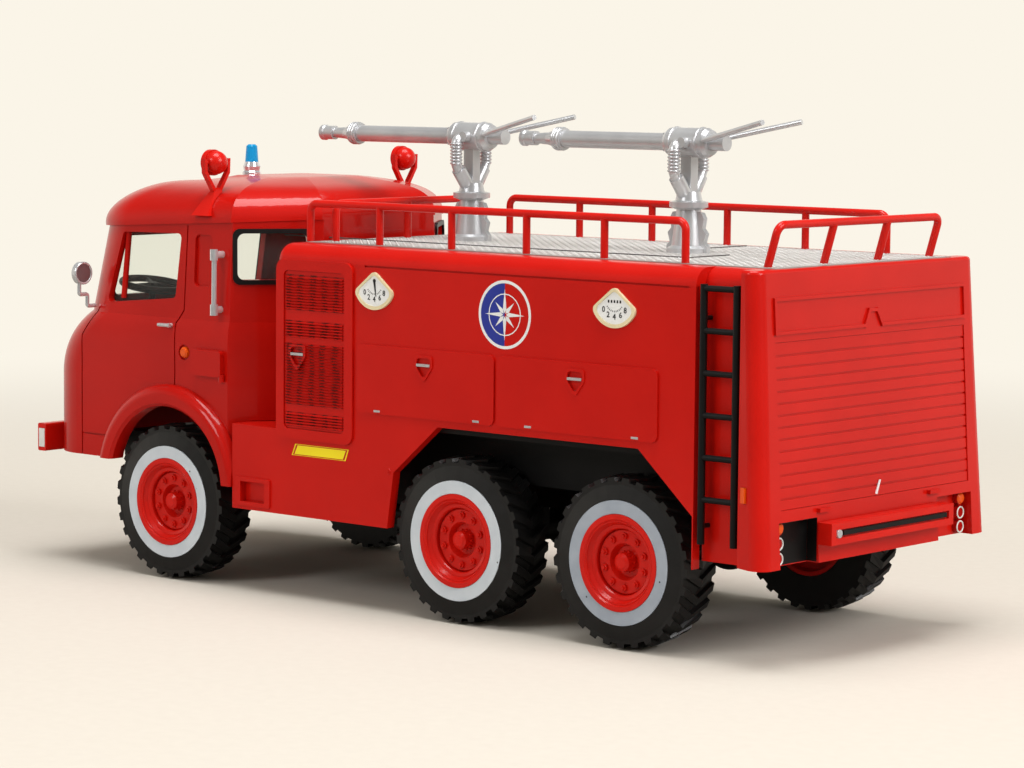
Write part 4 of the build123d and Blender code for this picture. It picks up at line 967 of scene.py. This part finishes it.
@dataclass
class Emblem(Piece):
    """The round printed badge on the left side: a white ring, a blue front half and a plain compass star.

    Args:
        station: the middle's place along the body.
        height: the middle's height.
        bands_mm: the inner and outer radius of the white ring at the edge and of the thin one inside.
        points: how many points the star has.
        reaches_mm: how far its long and its short points reach.
        waist_mm: how far from the middle a point is broadest.
        spread: half a point's breadth there, in degrees.
        heart_mm: how far from the middle its points begin.
        ink_mm: the thickness of the ink.
    """

    station: float = -10.1
    height: float = 48.4
    bands_mm: tuple[tuple[float, float], ...] = ((4.75, 5.2), (3.05, 3.2))
    points: int = 8
    reaches_mm: tuple[float, float] = (3.9, 2.6)
    waist_mm: float = 0.9
    spread: float = 22.0
    heart_mm: float = 0.25
    ink_mm: float = 0.03

    def shape(self, shaper: Shaper) -> None:
        """Prints the outer ring, the front half, the star and the inner ring."""
        ink = outward(LEFT) * self.ink_mm
        outer, inner = self.bands_mm
        self.circle(shaper, *outer, steps=48)
        half = [self.spot(math.radians(-90 + 180 * k / 24), outer[0]) for k in range(25)]
        shaper.sheet(half, ink * 0.6, 1)
        wide = math.radians(self.spread)
        for index in range(self.points):
            angle = math.tau * index / self.points + math.radians(90)
            reach = self.reaches_mm[index % 2]
            ends = ((angle, reach), (angle + wide, self.waist_mm), (angle, self.heart_mm),
                    (angle - wide, self.waist_mm))
            shaper.sheet([self.spot(turn, radius, 0.01) for turn, radius in ends], ink)
        self.circle(shaper, *inner, steps=24)

    def circle(self, shaper: Shaper, inner: float, outer: float, steps: int) -> None:
        """Prints a white ring between two radii."""
        for index in range(steps):
            a, b = (math.tau * k / steps for k in (index, index + 1))
            corners = [self.spot(a, inner), self.spot(a, outer), self.spot(b, outer), self.spot(b, inner)]
            shaper.sheet(corners, outward(LEFT) * self.ink_mm)

    def spot(self, angle: float, radius: float, rise: float = 0.0) -> Vector:
        """A place on a circle round the badge's middle, that much over the body's side."""
        x = self.station + radius * math.cos(angle)
        return at(x, SIDE_Y + rise, self.height + radius * math.sin(angle))


@dataclass
class SideLabel(Piece):
    """The blank slanted label under the louvred door on the left side: yellow with a red line.

    Args:
        corners: its corners, as stations and heights.
        fields: each printed field's share of the length, the thickness of its ink and its finish.
        inset: how much more the fields shrink in height than in length, so that the line stays even.
    """

    corners: tuple[tuple[float, float], ...] = ((34.0, 25.25), (22.2, 25.25), (22.9, 23.4), (34.8, 23.4))
    fields: tuple[tuple[float, float, int], ...] = ((1.0, 0.02, 0), (0.96, 0.025, 1), (0.9, 0.03, 0))
    inset: float = 5.9 / 0.95 * 0.35

    def shape(self, shaper: Shaper) -> None:
        """Prints the field, and the line as a larger and a smaller field over it."""
        middle = [sum(corner[k] for corner in self.corners) / 4 for k in (0, 1)]
        for long, rise, material in self.fields:
            high = 1 - (1 - long) * self.inset
            outline = [at(middle[0] + (x - middle[0]) * long, SIDE_Y, middle[1] + (z - middle[1]) * high)
                       for x, z in self.corners]
            shaper.sheet(outline, outward(LEFT) * rise, material)


@dataclass
class HingeStrips(Piece):
    """The silver hinge leaves under the locker doors."""

    stations: tuple[float, ...] = (15.9, -4.7, -15.1, -35.6)
    height: float = 31.85
    rise_mm: float = 0.34
    leaf_mm: Point = (1.3, 0.12, 0.34)

    def shape(self, shaper: Shaper) -> None:
        """Lays one leaf at each hinge on both sides."""
        for side in (LEFT, RIGHT):
            for station in self.stations:
                shaper.cube(at(station, side * (SIDE_Y + self.rise_mm), self.height), self.leaf_mm)


@dataclass
class SideScrews(Piece):
    """The screw head ahead of the middle wheel's arch, on each side."""

    station: float = 13.64
    height: float = 22.6

    def shape(self, shaper: Shaper) -> None:
        """Sets the head and the boss in its middle on both sides."""
        for side in (LEFT, RIGHT):
            out = outward(side)
            foot = at(self.station, side * (SIDE_Y - 0.05), self.height)
            shaper.rod(foot, foot + out * 0.2, (0.5, 0.42), segments=20)
            shaper.rod(foot + out * 0.2, foot + out * 0.26, (0.2, 0.16), segments=12)


@dataclass
class PocketShade(Piece):
    """Painted shade inside the left rear pocket, as thin black sheets on its floor, walls and roof.

    Args:
        sides: how far its inner and outer wall stand from the centreline.
        heights: the heights of its foot and its roof.
        floor: the station of its floor.
        paint_mm: the thickness of a sheet and its distance from the wall.
        margin_mm: how much a sheet is smaller than its wall.
        depth_mm: how deep the sheets on the walls are.
        mouth_mm: how far behind the floor their middle lies.
    """

    sides: tuple[float, float] = (15.5, 24.8)
    heights: tuple[float, float] = (14.8, 21.3)
    floor: float = -57.6
    paint_mm: float = 0.04
    margin_mm: float = 0.1
    depth_mm: float = 1.7
    mouth_mm: float = 0.9

    def shape(self, shaper: Shaper) -> None:
        """Lays a sheet on the floor and one on each wall."""
        (inner, outer), (low, top), paint = self.sides, self.heights, self.paint_mm
        y, z = (inner + outer) / 2, (low + top) / 2
        width, tall = outer - inner - self.margin_mm, top - low - self.margin_mm
        x = self.floor - paint
        shaper.cube(at(x, y, z), (paint, width, tall))
        for wall in (inner + paint, outer - paint):
            shaper.cube(at(x - self.mouth_mm, wall, z), (self.depth_mm, paint, tall))
        shaper.cube(at(x - self.mouth_mm, y, top - paint), (self.depth_mm, width, paint))


@dataclass
class LampRings(Piece):
    """The white rings printed round the tail lamps, and the amber caps of the upper ones."""

    heights: tuple[float, ...] = (15.9, 18.1)
    amber: float = 20.3
    lamp_mm: float = 1.0
    ring_mm: tuple[float, float] = (0.85, 0.12)

    def shape(self, shaper: Shaper) -> None:
        """Sets the rings and caps on both sides."""
        low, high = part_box("rear_lamps")
        for side in (LEFT, RIGHT):
            y = side * (high.y - self.lamp_mm * MM)
            for height in self.heights:
                shaper.ring(Vector((low.x - 0.02 * MM, y, height * MM)), FORWARD, *self.ring_mm)
            centre = Vector((low.x, y, self.amber * MM))
            shaper.rod(centre, centre - FORWARD * 0.25 * MM, (0.9, 0.65), 1)


@dataclass
class StepBarTrim(Piece):
    """The black strip in the groove of the rear step bar and the bright rivet at its left end."""

    strip_y: tuple[float, float] = (12.6, -14.2)
    strip_mm: tuple[float, float] = (0.5, 0.7)
    sunk_mm: float = 0.35
    rivet_y: float = 13.9

    def shape(self, shaper: Shaper) -> None:
        """Lays the strip and sets the rivet."""
        low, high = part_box("rear_step_bar")
        left, right = self.strip_y
        depth, height = self.strip_mm
        x, z = low.x + self.sunk_mm * MM, (low.z + high.z) / 2
        shaper.cube(Vector((x, (left + right) / 2 * MM, z)), (depth, left - right, height))
        rivet = Vector((x, self.rivet_y * MM, z))
        shaper.rod(rivet + FORWARD * 0.2 * MM, rivet - FORWARD * 0.5 * MM, (0.75, 0.6), 1)


@dataclass
class PullMark(Piece):
    """The short white strap printed at the foot of the roller shutter."""

    corners: tuple[tuple[float, float], ...] = ((-0.35, 25.3), (-0.7, 25.3), (0.15, 23.2), (0.6, 23.3))

    def shape(self, shaper: Shaper) -> None:
        """Lays the slanted strap."""
        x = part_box("rear_shutter")[0].x + 0.05 * MM
        shaper.sheet([Vector((x, y * MM, z * MM)) for y, z in self.corners], FORWARD * -0.15 * MM)


# --- pieces: cab --------------------------------------------------------------------
@dataclass
class QuarterLights(Piece):
    """The red posts beside the quarter lights of the door windows, and the lights' bright front edges.

    Args:
        bars: each bar's head and foot, as stations and heights, with its radius and its finish.
        lean_mm: how far outside the glass its foot stands and how far inside its head.
    """

    bars: tuple[tuple[tuple[float, float], tuple[float, float], float, int], ...] = (
        ((76.7, 57.4), (77.5, 46.2), 0.5, 0),
        ((77.7, 57.0), (80.9, 46.0), 0.2, 1),
    )
    lean_mm: tuple[float, float] = (0.1, 0.45)

    def shape(self, shaper: Shaper) -> None:
        """Sets a post and an edge strip in both door windows."""
        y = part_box("cab_glazing")[1].y / MM
        outside, inside = self.lean_mm
        for side in (LEFT, RIGHT):
            for head, foot, radius, material in self.bars:
                start = at(foot[0], side * (y + outside), foot[1])
                end = at(head[0], side * (y - inside), head[1])
                shaper.rod(start, end, (radius, radius), material, segments=12)


@dataclass
class MirrorGlasses(Piece):
    """The dull glass and the bright rim on the rear face of each door mirror."""

    centre_mm: float = 1.95
    glass_mm: float = 1.6
    rim_mm: tuple[float, float] = (1.75, 0.2)

    def shape(self, shaper: Shaper) -> None:
        """Sets a glass and a rim on both mirrors."""
        back = FORWARD * -MM
        for name, side in (("mirror_left", LEFT), ("mirror_right", RIGHT)):
            low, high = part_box(name)
            outer = high.y if side == LEFT else low.y
            spot = Vector((low.x, outer - side * self.centre_mm * MM, high.z - self.centre_mm * MM))
            shaper.rod(spot - back * 0.1, spot + back * 0.06, (self.glass_mm, self.glass_mm), 1)
            shaper.ring(spot, back, *self.rim_mm)


@dataclass
class SteeringWheel(Piece):
    """The broad, flat steering wheel on its column, which stands on the dashboard.

    Args:
        hub: the hub's station, y and height.
        rim_mm: the rim's radius and thickness.
        spokes: the spokes' angles in degrees.
        foot_z: the height of the column's foot.
        lean: how far it leans back, in degrees.
    """

    hub: Point = (84.2, 12.0, 47.5)
    rim_mm: tuple[float, float] = (5.3, 0.62)
    spokes: tuple[float, ...] = (90, 210, 330)
    foot_z: float = 43.2
    lean: float = 9.0

    def shape(self, shaper: Shaper) -> None:
        """Shapes the rim, the hub, the spokes and the column."""
        centre = at(*self.hub)
        turn = Matrix.Rotation(math.radians(-self.lean), 4, "Y")
        up = turn @ UP
        shaper.ring(centre, up, *self.rim_mm, segments=56)
        shaper.rod(centre - up * 0.5 * MM, centre + up * 0.4 * MM, (1.1, 0.8))
        for angle in self.spokes:
            along = turn @ Matrix.Rotation(math.radians(angle), 4, "Z") @ FORWARD
            shaper.rod(centre, centre + along * self.rim_mm[0] * MM, (0.42, 0.34), segments=12)
        shaper.rod(centre, centre - up * (self.hub[2] - self.foot_z) * MM, (0.55, 0.6), segments=16)

    def build(self) -> bpy.types.Object:
        """Builds the wheel in place of the smaller plain one."""
        piece = super().build()
        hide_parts("steering_wheel")
        return piece


@dataclass
class LampGlasses(Piece):
    """The clear glasses in the two searchlights, each with a bright rim."""

    station: float = 58.8
    aside_mm: float = 22.8
    drop_mm: float = 2.15
    rim_mm: tuple[float, float] = (1.88, 0.16)

    def shape(self, shaper: Shaper) -> None:
        """Sets a glass and a rim in each lamp."""
        out = FORWARD * MM
        for name, side in (("searchlight_left", LEFT), ("searchlight_right", RIGHT)):
            centre = at(self.station, side * self.aside_mm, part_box(name)[1].z / MM - self.drop_mm)
            shaper.rod(centre - out * 0.02, centre + out * 0.25, (1.75, 1.35), 1)
            shaper.ring(centre + out * 0.05, out, *self.rim_mm, segments=28)


def piece_list() -> list[Piece]:
    """Every piece that is added to the solids."""
    pieces: list[Piece] = [
        GaugeMarks("gauge_marks", (INK_BLACK,)),
        Emblem("side_emblem", (INK_WHITE, INK_BLUE)),
        SideLabel("side_label", (INK_YELLOW, INK_RED)),
        HingeStrips("locker_hinges", (FOIL_SILVER,), bevel_mm=0.04),
        SideScrews("side_screws", (BODY_RED,), smooth=True),
        # Thin black sheets of painted shade inside the left rear pocket.
        PocketShade("pocket_painted_shade", (PLASTIC_BLACK,)),
        LampRings("tail_lamp_rings", (LACQUER_WHITE, LACQUER_AMBER), smooth=True),
        StepBarTrim("step_bar_trim", (PLASTIC_BLACK, CHROME), smooth=True),
        PullMark("shutter_pull", (INK_WHITE,)),
        QuarterLights("quarter_lights", (CAB_RED, CHROME), smooth=True),
        MirrorGlasses("mirror_glasses", (CHROME, MIRROR_GLASS), smooth=True),
        SteeringWheel("steering_wheel_rim", (PLASTIC_BLACK,), smooth=True),
        DeckTread("deck_tread", (TREAD_SILVER,)),
        DeckSeams("deck_seams", (SEAM_GREY,)),
        LampGlasses("searchlight_glasses", (CHROME, WINDOW_CLEAR), smooth=True),
    ]
    for axle in AXLES:
        body = Body(f"{axle}_wheels")
        pieces.append(WheelNuts(f"{axle}_wheel_nuts", (PLASTIC_RED,), body, smooth=True, axle=axle))
        pieces.append(RimRings(f"{axle}_rim_rings", (PLASTIC_RED,), body, smooth=True, axle=axle))
    for monitor in ("front", "rear"):
        cannon = {"finishes": (CANNON_SILVER,), "smooth": True, "monitor": monitor}
        pieces.append(HoseRibs(f"monitor_{monitor}_hose_ribs", **cannon))
        pieces.append(NozzleRings(f"monitor_{monitor}_rings", **cannon))
    return pieces


# --- studio -------------------------------------------------------------------------
@dataclass
class Studio:
    """The pale table, the soft lamps and the camera.

    Args:
        camera_place: where the camera is, in metres.
        heading: the way it looks over the table, in degrees.
        pitch: how far it looks up, in degrees.
        roll: how far it is turned about its own axis, in degrees.
        lens: its focal length in millimetres.
        table_radius: the table's radius in metres.
        table_colour: the colour of the table's paper.
        table_shade: the second colour that its grain goes towards.
        table_fade: where the paper starts to fade into the backdrop and where it has, in metres.
        sky_colour: the colour of the backdrop.
        fill: the strength of the backdrop's light on the model.
        room_gloss: the strength at which a gloss shows the dark side of the room.
        table_gloss: the strength at which a gloss shows the near table.
        lamp_aim: the place that the lamps are turned to.
    """

    camera_place: Point = (-0.348324, 0.395765, 0.085673)
    heading: float = -49.134
    pitch: float = -5.589
    roll: float = 0.4931
    lens: float = 114.38
    table_radius: float = 6.0
    table_colour: str = "#CBC5BB"
    table_shade: str = "#C5BEB4"
    table_fade: tuple[float, float] = (0.11, 0.45)
    sky_colour: str = "#FBF5E8"
    fill: float = 0.47
    room_gloss: float = 0.1
    table_gloss: float = 0.3
    lamp_aim: Point = (0, 0, 0.03)

    def build(self) -> None:
        """Builds the table, the lamps, the world and the camera."""
        self.table()
        self.lamps()
        self.world()
        self.camera()

    def camera(self) -> None:
        """Makes the camera and makes it the scene's."""
        data = bpy.data.cameras.new("studio_camera")
        data.lens = self.lens
        data.sensor_width = 36.0
        data.clip_start = 0.01
        camera = bpy.data.objects.new("studio_camera", data)
        bpy.context.scene.collection.objects.link(camera)
        turn = Matrix.Rotation(math.radians(self.heading - 90), 4, "Z")
        tilt = Matrix.Rotation(math.radians(90 + self.pitch), 4, "X")
        lean = Matrix.Rotation(math.radians(self.roll), 4, "Z")
        camera.matrix_world = Matrix.Translation(self.camera_place) @ turn @ tilt @ lean
        bpy.context.scene.camera = camera

    def table(self) -> None:
        """Makes the pale table top, whose far parts fade into the background."""
        mesh = bmesh.new()
        bmesh.ops.create_circle(mesh, cap_ends=True, segments=96, radius=self.table_radius)
        data = bpy.data.meshes.new("table")
        mesh.to_mesh(data)
        mesh.free()
        table = bpy.data.objects.new("table", data)
        bpy.context.scene.collection.objects.link(table)
        table.data.materials.append(self.paper())

    def paper(self) -> bpy.types.Material:
        """Makes the matt paper of the table: shaded near the model, plain backdrop far away."""
        material = blank_material("matt_paper_backdrop")
        tree = material.node_tree
        place = add(tree, "ShaderNodeTexCoord").outputs["Object"]
        noise = add(tree, "ShaderNodeTexNoise", {"Vector": place, "Scale": per_mm(2.0), "Detail": 5.0})
        grain = noise.outputs["Fac"]
        shade = blend(tree, grain, linear(self.table_colour), linear(self.table_shade))
        gloss = add(tree, "ShaderNodeLightPath").outputs["Is Glossy Ray"]
        dim = ramp(tree, gloss, 0.0, 1.0, 1.0, self.table_gloss)
        seen = add(tree, "ShaderNodeMix", {0: 1.0, 6: shade, 7: dim}, data_type="RGBA", blend_type="MULTIPLY")
        lit = add(tree, "ShaderNodeBsdfDiffuse", {
            "Color": seen.outputs[2], "Normal": bump(tree, grain, 0.03, 0.3)})
        plain = add(tree, "ShaderNodeEmission", {
            "Color": linear(self.sky_colour), "Strength": self.brightness(tree, place)})
        away = add(tree, "ShaderNodeVectorMath", {0: place}, operation="LENGTH").outputs["Value"]
        fade = ramp(tree, away, *self.table_fade, soft=True)
        surface = join(tree, fade, lit.outputs["BSDF"], plain.outputs["Emission"])
        add(tree, "ShaderNodeOutputMaterial", {"Surface": surface})
        return material

    def brightness(self, tree: Tree, direction: Socket) -> Socket:
        """Works out how bright the surroundings are in a direction.

        Args:
            tree: the tree of the world or of the table.
            direction: the socket with the direction from the model.

        Returns:
            The strength: 1 where it is seen directly, the fill for rays of light, and for a gloss 1 low
            towards the backdrop and less in the other directions.
        """
        unit = add(tree, "ShaderNodeVectorMath", {0: direction}, operation="NORMALIZE").outputs["Vector"]
        turn = math.radians(self.heading)
        ahead = add(tree, "ShaderNodeVectorMath", {0: unit, 1: (math.cos(turn), math.sin(turn), 0.0)},
                    operation="DOT_PRODUCT").outputs["Value"]
        height = add(tree, "ShaderNodeSeparateXYZ", {0: unit}).outputs["Z"]
        pale = combine(tree, "MULTIPLY", ramp(tree, ahead, -0.45, 0.55, soft=True),
                       ramp(tree, height, 0.65, 0.2, soft=True))
        room = ramp(tree, pale, 0.0, 1.0, self.room_gloss)
        ray = add(tree, "ShaderNodeLightPath").outputs
        direct = combine(tree, "MAXIMUM", ray["Is Camera Ray"], ray["Is Transmission Ray"])
        glossy = ray["Is Glossy Ray"]
        gloss = add(tree, "ShaderNodeMix", {0: glossy, 2: self.fill, 3: room}, data_type="FLOAT")
        strength = add(tree, "ShaderNodeMix", {0: direct, 2: gloss.outputs[0], 3: 1.0}, data_type="FLOAT")
        return strength.outputs[0]

    def world(self) -> None:
        """Sets the cream background and the dim fill light that comes from it."""
        world = bpy.data.worlds.new("studio_world")
        bpy.context.scene.world = world
        world.use_nodes = True
        tree = world.node_tree
        tree.nodes.clear()
        place = add(tree, "ShaderNodeTexCoord").outputs["Generated"]
        backdrop = add(tree, "ShaderNodeBackground", {
            "Color": linear(self.sky_colour), "Strength": self.brightness(tree, place)})
        add(tree, "ShaderNodeOutputWorld", {"Surface": backdrop.outputs["Background"]})
        bpy.context.scene.view_settings.view_transform = "Standard"

    def lamps(self) -> None:
        """Hangs the soft lamps: one broad one overhead, one on the left and one behind."""
        for name, place, size, power in (
            # name, place in metres, width in metres, watts
            ("overhead_lamp", (-0.05, 0.06, 0.75), 0.5, 4.9),
            ("left_lamp", (0.15, 0.8, 0.5), 0.35, 2.0),
            ("rear_lamp", (-0.8, 0.0, 0.5), 0.5, 5.4),
        ):
            data = bpy.data.lights.new(name, "AREA")
            data.shape = "DISK"
            data.size = size
            data.energy = power
            lamp = bpy.data.objects.new(name, data)
            aim = Vector(self.lamp_aim) - Vector(place)
            lamp.matrix_world = Matrix.Translation(place) @ aim.to_track_quat("-Z", "Y").to_matrix().to_4x4()
            bpy.context.scene.collection.objects.link(lamp)


def main() -> None:
    """Builds the studio, dresses the solids and adds the small pieces."""
    logging.basicConfig(level=logging.INFO, format="%(name)s: %(message)s")
    Studio().build()
    dress_nodes()
    for piece in piece_list():
        piece.build()


if __name__ == "__main__":
    main()
